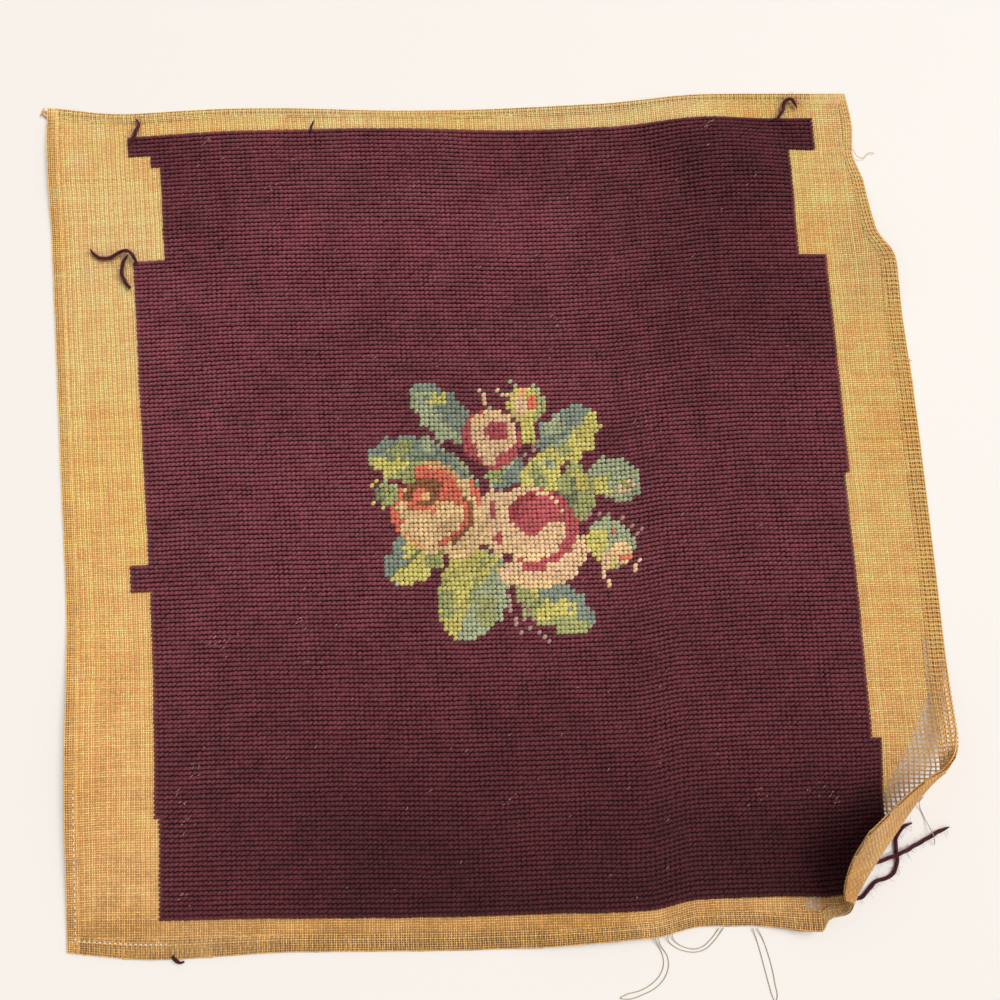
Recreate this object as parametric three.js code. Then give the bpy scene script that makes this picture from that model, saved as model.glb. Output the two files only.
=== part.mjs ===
// Needlepoint canvas panel: a hemmed piece of ten-mesh double-thread canvas whose middle is
// covered with wool tent stitch. It lies face up with shallow buckles, its lower right corner
// rolled up and over, with a few yarn ends and sewing threads left hanging.
// Millimetres, +Z up from the worked face, +Y towards the panel's top edge.
import * as THREE from 'three';

// Canvas and wool, as thicknesses measured along the sheet's own normal
const CANVAS_THICK = 1.2;
const HEM_THICK = 2.0;
const WOOL_GAP = 0.3;
const WOOL_THICK = 1.4;

// Stitch counts: the worked field, and the bare margins at the left, right, bottom and top
const FIELD = { columns: 154, rows: 178 };
const MARGIN = { left: 18, right: 17, bottom: 7, top: 6 };
const HEM = { left: 1.8, right: 3.1, bottom: 2.9, top: 1.6 };
const HEM_STEP = 0.4;

// Where the two side edges of the field lie, from its bottom (0) to its top (1)
const FIELD_SIDES = [
  { up: 0.0, left: -169, right: 218 },
  { up: 0.3, left: -176.5, right: 212.5 },
  { up: 0.6, left: -189, right: 205 },
  { up: 1.0, left: -206.3, right: 195 },
];

// Where the bottom and top edges of the field lie, from its left (0) to its right (1)
const FIELD_ENDS = [
  { across: 0.0, bottom: -223.7, top: 214 },
  { across: 0.15, bottom: -222.8, top: 218 },
  { across: 0.4, bottom: -222, top: 219.8 },
  { across: 0.55, bottom: -220, top: 218.5 },
  { across: 0.67, bottom: -218.5, top: 220 },
  { across: 0.74, bottom: -213, top: 221.5 },
  { across: 0.88, bottom: -211.5, top: 226 },
  { across: 1.0, bottom: -210.6, top: 226 },
];

// Widths of the bare canvas outside the field: even on the left, uneven on the other sides
const LEFT_MARGIN = 46.7;
const RIGHT_EDGE = [
  { up: -0.03, margin: 34 },
  { up: 0.1, margin: 39 },
  { up: 0.2, margin: 42 },
  { up: 0.55, margin: 42 },
  { up: 0.74, margin: 40 },
  { up: 0.8, margin: 38.4 },
  { up: 0.84, margin: 29.6 },
  { up: 0.91, margin: 26.6 },
  { up: 0.95, margin: 22 },
  { up: 0.99, margin: 23.4 },
  { up: 1.04, margin: 20.7 },
];
const BOTTOM_EDGE = [
  { across: -0.12, margin: 15.5 },
  { across: 0.0, margin: 19.8 },
  { across: 0.2, margin: 16.8 },
  { across: 0.5, margin: 16.6 },
  { across: 0.67, margin: 13.4 },
  { across: 0.8, margin: 14.2 },
  { across: 0.9, margin: 17 },
  { across: 0.912, margin: 10.3 },
  { across: 0.96, margin: 8.5 },
  { across: 0.98, margin: 14.5 },
  { across: 1.01, margin: 11.5 },
  { across: 1.05, margin: 8.5 },
  { across: 1.11, margin: 5 },
];
const TOP_EDGE = [
  { across: -0.12, margin: 21.5 },
  { across: 0.01, margin: 14.5 },
  { across: 0.2, margin: 13.8 },
  { across: 0.4, margin: 11 },
  { across: 0.6, margin: 14.3 },
  { across: 0.92, margin: 15.6 },
  { across: 1.11, margin: 15.5 },
];

// First and last stitch of the worked rows, with the notches, tabs and odd ends the worker left
const WORKED = [
  { from: 0, to: 5, left: 1, right: 148 },
  { from: 5, to: 10, left: 1, right: 152 },
  { from: 10, to: 21, left: 1, right: 155 },
  { from: 21, to: 33, left: 0, right: 155 },
  { from: 33, to: 70, left: 0, right: 153 },
  { from: 70, to: 76, left: -4, right: 153 },
  { from: 76, to: 92, left: 0, right: 153 },
  { from: 92, to: 144, left: 0, right: 154 },
  { from: 144, to: 147, left: 0, right: 148 },
  { from: 147, to: 170, left: 7, right: 148 },
  { from: 170, to: 173, left: 5, right: 154 },
  { from: 173, to: 178, left: 0, right: 154 },
];

// Buckles and lifted edges: half lengths along and across each one, its turn and its height
const BUCKLES = [
  { x: -228, y: -150, long: 95, wide: 40, turn: 92, rise: 6 },
  { x: 138, y: 205, long: 75, wide: 34, turn: -32, rise: 4.5 },
  { x: 0, y: -165, long: 72, wide: 36, turn: 28, rise: 3.5 },
  { x: 88, y: -160, long: 62, wide: 30, turn: 78, rise: 3.5 },
  { x: 238, y: 148, long: 46, wide: 34, turn: 80, rise: 5 },
  { x: 68, y: -232, long: 60, wide: 30, turn: 4, rise: 3.5 },
  { x: -252, y: 196, long: 50, wide: 34, turn: 80, rise: 2.5 },
  { x: 120, y: 60, long: 85, wide: 36, turn: 62, rise: 2.5 },
  { x: -120, y: 60, long: 80, wide: 36, turn: -58, rise: 2.2 },
];

// Rolled corner: it rises slowly over the ramp, bends tightly, then stands as a leaning flap
const FOLD = { x: 214.2, y: -124.7, outward: -36.6 };
const RAMP = { length: 34, radius: 75 };
const BEND_RADIUS = 8;
const FLAP_TURN = { upper: 126, lower: 145, from: 45, to: 85 };
const CREASE_BOW = { depth: 3.9, length: 88 };
const RAMP_CREASES = 4;
const BEND_CREASES = 5;

// Widest cell of the sheet's net, in stitches, and how near a crease may pass to a net point
const WIDEST_CELL = 10;
const CREASE_TOLERANCE = 0.3;

// Yarn and sewing thread
const YARN = 2.2;
const THREAD = 0.5;
const STRAND_SIDES = 8;

const BODY_COLOUR = { canvas: 0xd9ad68, wool: 0x5b2b36, thread: 0xb9aa92 };

const radians = THREE.MathUtils.degToRad;

// Value of a table's column at a place along its key: smooth, and never past its rows
function read(table, key, column, place) {
  const last = table.length - 1;
  const slope = (n) => (table[n + 1][column] - table[n][column]) / (table[n + 1][key] - table[n][key]);
  if (place <= table[0][key]) return table[0][column] + (place - table[0][key]) * slope(0);
  if (place >= table[last][key]) return table[last][column] + (place - table[last][key]) * slope(last - 1);
  const tangent = (n) => {
    if (n === 0) return slope(0);
    if (n === last) return slope(last - 1);
    const before = slope(n - 1);
    const after = slope(n);
    return before * after > 0 ? (2 * before * after) / (before + after) : 0;
  };
  const k = table.findIndex((row) => row[key] > place) - 1;
  const width = table[k + 1][key] - table[k][key];
  const t = (place - table[k][key]) / width;
  const ease = t * t * (3 - 2 * t);
  const bend = t * (1 - t) * width;
  return (
    table[k][column] * (1 - ease) +
    table[k + 1][column] * ease +
    bend * ((1 - t) * tangent(k) - t * tangent(k + 1))
  );
}

// Flat place of a stitch, counted in columns and rows from the field's lower left corner
function flatPlace(column, row) {
  const field = { x: column / FIELD.columns, y: row / FIELD.rows };
  const left = read(FIELD_SIDES, 'up', 'left', field.y);
  const right = read(FIELD_SIDES, 'up', 'right', field.y);
  const bottom = read(FIELD_ENDS, 'across', 'bottom', field.x);
  const top = read(FIELD_ENDS, 'across', 'top', field.x);
  let x = left + (right - left) * field.x;
  let y = bottom + (top - bottom) * field.y;
  if (column < 0) x = left + (column / MARGIN.left) * LEFT_MARGIN;
  if (column > FIELD.columns) {
    const past = (column - FIELD.columns) / MARGIN.right;
    x = right + past * read(RIGHT_EDGE, 'up', 'margin', field.y);
  }
  if (row < 0) y = bottom + (row / MARGIN.bottom) * read(BOTTOM_EDGE, 'across', 'margin', field.x);
  if (row > FIELD.rows) {
    const past = (row - FIELD.rows) / MARGIN.top;
    y = top + past * read(TOP_EDGE, 'across', 'margin', field.x);
  }
  return { x, y };
}

// Height of the buckles at a flat place
function buckle(x, y) {
  let height = 0;
  for (const { x: cx, y: cy, long, wide, turn, rise } of BUCKLES) {
    const c = Math.cos(radians(turn));
    const s = Math.sin(radians(turn));
    const along = ((x - cx) * c + (y - cy) * s) / long;
    const across = ((y - cy) * c - (x - cx) * s) / wide;
    const inside = Math.max(0, 1 - along * along - across * across);
    height += rise * inside * inside;
  }
  return height;
}

// Directions of the fold: outwards over the corner, and along the crease towards the bottom edge
const OUTWARD = new THREE.Vector2(Math.cos(radians(FOLD.outward)), Math.sin(radians(FOLD.outward)));
const CREASEWARD = new THREE.Vector2(OUTWARD.y, -OUTWARD.x);
const RAMP_TURN = RAMP.length / RAMP.radius;

// Distance of a flat place past the line where the corner starts to rise
function pastFold(x, y) {
  return (x - FOLD.x) * OUTWARD.x + (y - FOLD.y) * OUTWARD.y;
}

// Distance of a flat place along the crease, from its upper end
function alongFold(x, y) {
  return (x - FOLD.x) * CREASEWARD.x + (y - FOLD.y) * CREASEWARD.y;
}

// How far the corner has turned where the flap starts: more towards the bottom edge
function flapTurn(x, y) {
  const share = THREE.MathUtils.smoothstep(alongFold(x, y), FLAP_TURN.from, FLAP_TURN.to);
  return radians(THREE.MathUtils.lerp(FLAP_TURN.upper, FLAP_TURN.lower, share));
}

// How far the crease bows in from a straight line, the sheet being drawn in over the ramp
function creaseBow(x, y) {
  const share = THREE.MathUtils.clamp(alongFold(x, y) / CREASE_BOW.length, 0, 1);
  const drawn = THREE.MathUtils.smoothstep(pastFold(x, y), 0, RAMP.length);
  return CREASE_BOW.depth * (1 - (2 * share - 1) ** 4) * drawn;
}

// Flat place to lying place: buckles, then the ramp, the bend and the flap of the corner
function lie(x, y) {
  const past = pastFold(x, y);
  let reach = past;
  let rise = 0;
  if (past > 0) {
    const ramp = Math.min(past, RAMP.length) / RAMP.radius;
    reach = RAMP.radius * Math.sin(ramp);
    rise = RAMP.radius * (1 - Math.cos(ramp));
  }
  if (past > RAMP.length) {
    const end = flapTurn(x, y);
    const turn = Math.min(RAMP_TURN + (past - RAMP.length) / BEND_RADIUS, end);
    reach += BEND_RADIUS * (Math.sin(turn) - Math.sin(RAMP_TURN));
    rise += BEND_RADIUS * (Math.cos(RAMP_TURN) - Math.cos(turn));
    const straight = Math.max(0, past - RAMP.length - BEND_RADIUS * (end - RAMP_TURN));
    reach += straight * Math.cos(end);
    rise += straight * Math.sin(end);
  }
  const moved = reach - past - creaseBow(x, y);
  return new THREE.Vector3(x + moved * OUTWARD.x, y + moved * OUTWARD.y, buckle(x, y) + rise);
}

// Lying place at a height above the sheet's underside, along its normal
function above(x, y, height) {
  const step = 0.05;
  const tangentX = lie(x + step, y).sub(lie(x - step, y));
  const tangentY = lie(x, y + step).sub(lie(x, y - step));
  const normal = tangentX.cross(tangentY).normalize();
  return lie(x, y).addScaledVector(normal, height);
}

// Marks in rising order, with lines put in between so that no cell is too wide
function netLines(marks) {
  const sorted = [...new Set(marks)].sort((a, b) => a - b);
  const lines = [sorted[0]];
  for (let k = 1; k < sorted.length; k += 1) {
    const cells = Math.ceil((sorted[k] - sorted[k - 1]) / WIDEST_CELL);
    for (let n = 1; n <= cells; n += 1) {
      lines.push(sorted[k - 1] + ((sorted[k] - sorted[k - 1]) * n) / cells);
    }
  }
  return lines;
}

// Flat triangles of the cells that a test takes in
function flatNet(columns, rows, takesIn) {
  const points = [];
  const triangles = [];
  const numbers = new Map();
  const number = (i, j) => {
    const key = `${i},${j}`;
    if (!numbers.has(key)) {
      numbers.set(key, points.length);
      points.push({ ...flatPlace(columns[i], rows[j]), thick: canvasThick(columns[i], rows[j]) });
    }
    return numbers.get(key);
  };
  for (let j = 0; j + 1 < rows.length; j += 1) {
    for (let i = 0; i + 1 < columns.length; i += 1) {
      if (!takesIn((columns[i] + columns[i + 1]) / 2, (rows[j] + rows[j + 1]) / 2)) continue;
      const corners = [number(i, j), number(i + 1, j), number(i + 1, j + 1), number(i, j + 1)];
      triangles.push([corners[0], corners[1], corners[2]], [corners[0], corners[2], corners[3]]);
    }
  }
  return { points, triangles };
}

// Net with its triangles cut along the line at one distance past the fold
function crease(net, distance) {
  const { points } = net;
  const sides = points.map((p) => {
    const side = pastFold(p.x, p.y) - distance;
    return Math.abs(side) < CREASE_TOLERANCE ? 0 : side;
  });
  const cuts = new Map();
  const cut = (a, b) => {
    const key = `${Math.min(a, b)},${Math.max(a, b)}`;
    if (!cuts.has(key)) {
      const share = sides[a] / (sides[a] - sides[b]);
      const mix = (name) => THREE.MathUtils.lerp(points[a][name], points[b][name], share);
      cuts.set(key, points.length);
      points.push({ x: mix('x'), y: mix('y'), thick: mix('thick') });
    }
    return cuts.get(key);
  };
  const triangles = net.triangles.flatMap((triangle) => {
    const signs = triangle.map((p) => Math.sign(sides[p]));
    if (!signs.includes(1) || !signs.includes(-1)) return [triangle];
    const touching = signs.indexOf(0);
    const alone = signs.findIndex((sign) => signs.filter((other) => other === sign).length === 1);
    const first = touching >= 0 ? touching : alone;
    const [a, b, c] = [0, 1, 2].map((k) => triangle[(first + k) % 3]);
    if (touching >= 0) return [[a, b, cut(b, c)], [a, cut(b, c), c]];
    return [[a, cut(a, b), cut(a, c)], [cut(a, b), b, c], [cut(a, b), c, cut(a, c)]];
  });
  return { points, triangles };
}

// Closed sheet over a flat net, between two heights that may depend on the net's points
function sheetGeometry(net, low, high) {
  const count = net.points.length;
  const upper = net.points.map((p) => above(p.x, p.y, high(p)));
  const lower = net.points.map((p) => above(p.x, p.y, low(p)));
  const faces = [];
  const edges = new Map();
  for (const [a, b, c] of net.triangles) {
    faces.push(a, b, c, count + a, count + c, count + b);
    for (const [from, to] of [[a, b], [b, c], [c, a]]) {
      if (!edges.delete(`${to},${from}`)) edges.set(`${from},${to}`, [from, to]);
    }
  }
  for (const [from, to] of edges.values()) {
    faces.push(from, count + from, count + to, from, count + to, to);
  }
  const geometry = new THREE.BufferGeometry().setFromPoints([...upper, ...lower]);
  geometry.setIndex(faces);
  geometry.computeVertexNormals();
  return geometry;
}

// Net lines of the whole sheet: field steps, hems and outer edges, and the corner's creases
const COLUMN_LINES = netLines([
  -MARGIN.left,
  -MARGIN.left + HEM.left,
  -MARGIN.left + HEM.left + HEM_STEP,
  FIELD.columns + MARGIN.right - HEM.right - HEM_STEP,
  FIELD.columns + MARGIN.right - HEM.right,
  FIELD.columns + MARGIN.right,
  ...WORKED.flatMap((span) => [span.left, span.right]),
]);
const ROW_LINES = netLines([
  -MARGIN.bottom,
  -MARGIN.bottom + HEM.bottom,
  -MARGIN.bottom + HEM.bottom + HEM_STEP,
  FIELD.rows + MARGIN.top - HEM.top - HEM_STEP,
  FIELD.rows + MARGIN.top - HEM.top,
  FIELD.rows + MARGIN.top,
  ...WORKED.flatMap((span) => [span.from, span.to]),
]);
const BEND_LENGTH = BEND_RADIUS * (radians(FLAP_TURN.lower) - RAMP_TURN);

function creasedNet(takesIn) {
  let net = flatNet(COLUMN_LINES, ROW_LINES, takesIn);
  for (let k = 0; k <= RAMP_CREASES; k += 1) {
    net = crease(net, (RAMP.length * k) / RAMP_CREASES);
  }
  for (let k = 1; k <= BEND_CREASES; k += 1) {
    net = crease(net, RAMP.length + (BEND_LENGTH * k) / BEND_CREASES);
  }
  return net;
}

// The canvas is doubled at its hems
function canvasThick(column, row) {
  const inHem =
    column <= HEM.left - MARGIN.left ||
    column >= FIELD.columns + MARGIN.right - HEM.right ||
    row <= HEM.bottom - MARGIN.bottom ||
    row >= FIELD.rows + MARGIN.top - HEM.top;
  return inHem ? HEM_THICK : CANVAS_THICK;
}

function isWorked(column, row) {
  return WORKED.some((s) => row > s.from && row < s.to && column > s.left && column < s.right);
}

const panel = new THREE.Group();

function addPiece(name, geometry, colour, roughness) {
  const material = new THREE.MeshStandardMaterial({ color: colour, roughness, metalness: 0 });
  const mesh = new THREE.Mesh(geometry, material);
  mesh.name = name;
  panel.add(mesh);
}

// Canvas: one sheet with its hems, buckles and rolled corner
const canvasNet = creasedNet(() => true);
addPiece('canvas', sheetGeometry(canvasNet, () => 0, (p) => p.thick), BODY_COLOUR.canvas, 0.9);

// Wool field: the layer of tent stitch on the canvas face
const woolLow = CANVAS_THICK + WOOL_GAP;
const woolNet = creasedNet(isWorked);
const woolField = sheetGeometry(woolNet, () => woolLow, () => woolLow + WOOL_THICK);
addPiece('wool_field', woolField, BODY_COLOUR.wool, 0.95);

// Strand with round section along a smooth curve through its points
function strandGeometry(diameter, steps, points) {
  const corners = [];
  for (let k = 0; k < STRAND_SIDES; k += 1) {
    const angle = (2 * Math.PI * (k + 0.5)) / STRAND_SIDES;
    corners.push(new THREE.Vector2(Math.cos(angle), Math.sin(angle)).multiplyScalar(diameter / 2));
  }
  const route = points.map(([x, y, z]) => new THREE.Vector3(x, y, z));
  const path = new THREE.CatmullRomCurve3(route);
  return new THREE.ExtrudeGeometry(new THREE.Shape(corners), { steps, extrudePath: path });
}

// Yarn ends left on the face: at the left step, and short ones at the top tabs
const FACE_ENDS = [
  {
    name: 'yarn_end_left',
    steps: 18,
    points: [
      [-195.8, 135.6, 4.4], [-197.6, 139.6, 5.0], [-200.8, 142.6, 5.2], [-204.8, 143.0, 4.4],
      [-208.6, 141.2, 3.4], [-212.6, 139.6, 2.8], [-216.6, 139.4, 2.7], [-220.6, 141.2, 2.7],
      [-223.4, 144.8, 2.7],
    ],
  },
  {
    name: 'yarn_loop_left',
    steps: 12,
    points: [
      [-199.6, 121.6, 2.7], [-202.4, 125.4, 2.8], [-204.4, 129.8, 3.4], [-204.0, 134.4, 4.2],
      [-201.8, 137.8, 6.2], [-199.4, 139.0, 8.6],
    ],
  },
  {
    name: 'yarn_end_top_left',
    steps: 12,
    points: [
      [-203.3, 209.3, 4.2], [-201.9, 211.9, 4.2], [-200.9, 215.8, 4.1], [-199.9, 219.4, 2.8],
      [-199.7, 222.1, 2.8], [-201.0, 224.0, 3.4],
    ],
  },
  {
    name: 'yarn_end_top_right',
    steps: 16,
    points: [
      [174.4, 224.6, 4.5], [176.2, 227.2, 4.5], [178.0, 230.2, 3.2], [178.6, 233.4, 3.0],
      [180.0, 236.2, 3.5], [182.6, 236.6, 3.7], [184.8, 234.4, 3.4], [186.4, 231.6, 2.8],
    ],
  },
];
for (const { name, steps, points } of FACE_ENDS) {
  addPiece(name, strandGeometry(YARN, steps, points), BODY_COLOUR.wool, 0.95);
}

// Yarn ends that leave the back of the rolled corner and lie on the table, one across the other
const CORNER_ENDS = [
  {
    name: 'yarn_end_corner_hook',
    steps: 24,
    points: [
      [188.0, -205.0, 4.1], [192.6, -209.2, 2.3], [197.8, -212.2, 1.2], [202.6, -211.8, 1.2],
      [207.0, -207.2, 1.2], [211.4, -203.4, 1.2], [216.4, -202.2, 1.2], [220.6, -198.6, 1.2],
      [222.3, -193.4, 1.2], [222.0, -187.8, 1.2], [222.2, -182.6, 1.2], [224.2, -178.4, 1.2],
      [227.2, -175.6, 1.2], [231.2, -174.0, 1.2],
    ],
  },
  {
    name: 'yarn_end_corner_straight',
    steps: 22,
    points: [
      [199.0, -195.0, 6.0], [204.0, -195.4, 4.1], [209.0, -194.6, 2.3], [213.8, -193.2, 1.9],
      [218.2, -191.2, 3.2], [222.6, -189.4, 4.0], [227.0, -187.6, 3.2], [231.4, -185.8, 1.7],
      [236.0, -183.6, 1.2], [241.4, -180.6, 1.2], [246.6, -177.8, 1.2], [250.8, -176.2, 1.2],
    ],
  },
];
for (const { name, steps, points } of CORNER_ENDS) {
  addPiece(name, strandGeometry(YARN, steps, points), BODY_COLOUR.wool, 0.95);
}

// Sewing threads that hang out of the hems: two loops, a double arc and a single end
const THREADS = [
  {
    name: 'thread_loop_left',
    steps: 40,
    points: [
      [94.4, -231.3, 3.0], [96.4, -236.4, 0.9], [99.6, -241.4, 0.3], [100.2, -246.4, 0.3],
      [98.6, -251.4, 0.3], [94.4, -256.4, 0.3], [86.6, -260.6, 0.3], [78.0, -262.9, 0.3],
      [74.6, -262.3, 0.3], [77.6, -260.7, 0.3], [85.2, -258.6, 0.3], [91.6, -255.0, 0.3],
      [95.8, -250.6, 0.3], [97.6, -245.8, 0.3], [97.0, -240.6, 0.3], [94.8, -236.0, 0.9],
      [92.6, -231.6, 3.0],
    ],
  },
  {
    name: 'thread_arc_outer',
    steps: 24,
    points: [
      [99.4, -230.4, 2.7], [100.6, -234.2, 0.8], [104.0, -237.2, 0.3], [109.4, -239.2, 0.3],
      [114.2, -239.6, 0.3], [119.8, -238.0, 0.3], [123.8, -234.6, 0.3], [127.0, -230.8, 0.4],
      [129.4, -227.2, 1.1],
    ],
  },
  {
    name: 'thread_arc_inner',
    steps: 24,
    points: [
      [102.0, -229.9, 2.5], [103.2, -233.4, 0.8], [106.2, -236.0, 0.3], [110.4, -237.6, 0.3],
      [114.2, -238.0, 0.3], [118.6, -236.6, 0.3], [122.2, -233.6, 0.3], [125.0, -230.4, 0.4],
      [127.0, -227.4, 1.1],
    ],
  },
  {
    name: 'thread_loop_right',
    steps: 36,
    points: [
      [144.6, -227.4, 1.3], [146.4, -232.6, 0.4], [148.4, -239.6, 0.3], [150.2, -247.0, 0.3],
      [152.2, -255.0, 0.3], [154.2, -262.0, 0.3], [155.4, -264.4, 0.3], [156.4, -262.0, 0.3],
      [155.6, -255.6, 0.3], [154.4, -248.2, 0.3], [152.4, -240.4, 0.3], [149.8, -232.8, 0.4],
      [147.0, -227.4, 1.4],
    ],
  },
  {
    name: 'thread_end_corner',
    steps: 18,
    points: [
      [232.4, -158.6, 14.9], [233.6, -160.8, 8.6], [234.8, -163.4, 3.2], [236.2, -166.6, 0.8],
      [237.8, -170.4, 0.5], [239.3, -174.2, 1.4], [240.6, -177.6, 2.8], [241.6, -180.6, 3.2],
      [242.2, -183.2, 2.5], [242.5, -185.2, 1.0],
    ],
  },
];
for (const { name, steps, points } of THREADS) {
  addPiece(name, strandGeometry(THREAD, steps, points), BODY_COLOUR.thread, 0.7);
}

// The origin is under the middle of the canvas, on the surface it lies on
const middle = new THREE.Box3().setFromObject(panel.getObjectByName('canvas')).getCenter(new THREE.Vector3());
panel.position.set(-middle.x, -middle.y, 0);

export default panel;
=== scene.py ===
from math import cos, pi, radians, sin, tau

import bpy
import numpy as np
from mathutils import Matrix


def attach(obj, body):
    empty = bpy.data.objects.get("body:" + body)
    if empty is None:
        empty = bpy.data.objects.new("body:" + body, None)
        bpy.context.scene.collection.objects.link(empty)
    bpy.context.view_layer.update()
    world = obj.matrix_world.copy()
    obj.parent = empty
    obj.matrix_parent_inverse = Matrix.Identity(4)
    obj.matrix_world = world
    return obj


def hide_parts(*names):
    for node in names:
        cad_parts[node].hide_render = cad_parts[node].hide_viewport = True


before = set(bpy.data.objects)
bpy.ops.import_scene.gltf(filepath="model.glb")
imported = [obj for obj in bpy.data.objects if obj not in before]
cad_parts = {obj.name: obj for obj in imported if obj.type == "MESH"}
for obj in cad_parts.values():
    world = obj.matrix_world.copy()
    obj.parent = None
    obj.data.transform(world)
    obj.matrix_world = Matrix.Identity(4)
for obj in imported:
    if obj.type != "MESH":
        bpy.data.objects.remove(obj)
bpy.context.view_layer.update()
bpy.ops.object.select_all(action="DESELECT")


# Camera
# The panel is looked at from just off straight above, from about arm's length, so that it fills
# the picture with a narrow strip of table round it.
MM = 0.001
CAMERA_PLACE = (11.5 * MM, -77.0 * MM, 552 * MM)
CAMERA_TILT = radians(8)
CAMERA_SENSOR = 36
CAMERA_LENS = 36
bpy.ops.object.camera_add(location=CAMERA_PLACE, rotation=(CAMERA_TILT, 0, 0))
camera = bpy.context.object
camera.data.sensor_width = CAMERA_SENSOR
camera.data.lens = CAMERA_LENS
bpy.context.scene.camera = camera
bpy.context.scene.view_settings.view_transform = "Standard"


# Yarn ends
# Maroon tapestry wool of three plies, left hanging where the worker started or ended a length.
# They come up through the canvas beside the stitches, or out from under the rolled corner.
YARN = 2.2
YARN_PLIES = 3
YARN_TWIST = 7.5
YARN_SIDES = 12
ROUTE_STEP = 0.45
ROUTE_SHIFT = np.array([-0.53, 0.95, 0.0])
YARN_ROUTES = {
    "yarn_end_left": [
        (-195.8, 135.6, 4.4), (-197.6, 139.6, 5.0), (-200.8, 142.6, 5.2), (-204.8, 143.0, 4.4),
        (-208.6, 141.2, 3.4), (-212.6, 139.6, 2.8), (-216.6, 139.4, 2.7), (-220.6, 141.2, 2.7),
        (-223.4, 144.8, 2.7),
    ],
    "yarn_loop_left": [
        (-199.6, 121.6, 2.7), (-202.4, 125.4, 2.8), (-204.4, 129.8, 3.4), (-204.0, 134.4, 4.2),
        (-201.8, 137.8, 6.2), (-199.4, 139.0, 8.6),
    ],
    "yarn_end_top_left": [
        (-203.3, 209.3, 4.2), (-201.9, 211.9, 4.2), (-200.9, 215.8, 4.1), (-199.9, 219.4, 2.8),
        (-199.7, 222.1, 2.8), (-201.0, 224.0, 3.4),
    ],
    "yarn_end_top_right": [
        (174.4, 224.6, 4.5), (176.2, 227.2, 4.5), (178.0, 230.2, 3.2), (178.6, 233.4, 3.0),
        (180.0, 236.2, 3.5), (182.6, 236.6, 3.7), (184.8, 234.4, 3.4), (186.4, 231.6, 2.8),
    ],
    "yarn_end_corner_hook": [
        (188.0, -205.0, 4.1), (192.6, -209.2, 2.3), (197.8, -212.2, 1.2), (202.6, -211.8, 1.2),
        (207.0, -207.2, 1.2), (211.4, -203.4, 1.2), (216.4, -202.2, 1.2), (220.6, -198.6, 1.2),
        (222.3, -193.4, 1.2), (222.0, -187.8, 1.2), (222.2, -182.6, 1.2), (224.2, -178.4, 1.2),
        (227.2, -175.6, 1.2), (231.2, -174.0, 1.2),
    ],
    "yarn_end_corner_straight": [
        (199.0, -195.0, 6.0), (204.0, -195.4, 4.1), (209.0, -194.6, 2.3), (213.8, -193.2, 1.9),
        (218.2, -191.2, 3.2), (222.6, -189.4, 4.0), (227.0, -187.6, 3.2), (231.4, -185.8, 1.7),
        (236.0, -183.6, 1.2), (241.4, -180.6, 1.2), (246.6, -177.8, 1.2), (250.8, -176.2, 1.2),
    ],
}


def linear(colour):
    """Linear colour, with an alpha of 1, from a colour as it shows on a screen, 0 to 255."""
    share = np.asarray(colour, float) / 255
    light = np.where(share <= 0.04045, share / 12.92, ((share + 0.055) / 1.055) ** 2.4)
    return np.concatenate([light, np.ones(light.shape[:-1] + (1,))], -1)


def piece_from_arrays(name, points, faces, colours, material):
    """Smooth mesh piece that rides on the panel; points in millimetres, a colour for each point."""
    mesh = bpy.data.meshes.new(name)
    mesh.from_pydata((points * MM).tolist(), [], faces if isinstance(faces, list) else faces.tolist())
    mesh.polygons.foreach_set("use_smooth", np.ones(len(mesh.polygons), bool))
    attribute = mesh.attributes.new("colour", "FLOAT_COLOR", "POINT")
    attribute.data.foreach_set("color", colours.astype(np.float32).ravel())
    mesh.materials.append(material)
    mesh.update()
    piece = bpy.data.objects.new(name, mesh)
    bpy.context.scene.collection.objects.link(piece)
    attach(piece, "root")
    return piece


def set_inputs(node, values):
    """Sets a material node's inputs by their names."""
    for name, value in values.items():
        node.inputs[name].default_value = value


FIBRE_SHINE = 0.25
SHEEN_SPREAD = 0.45
FIBRE_DETAIL = 3
FIBRE_RANGE = (0.3, 0.7)
FIBRE_DEPTH = 0.2


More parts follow.
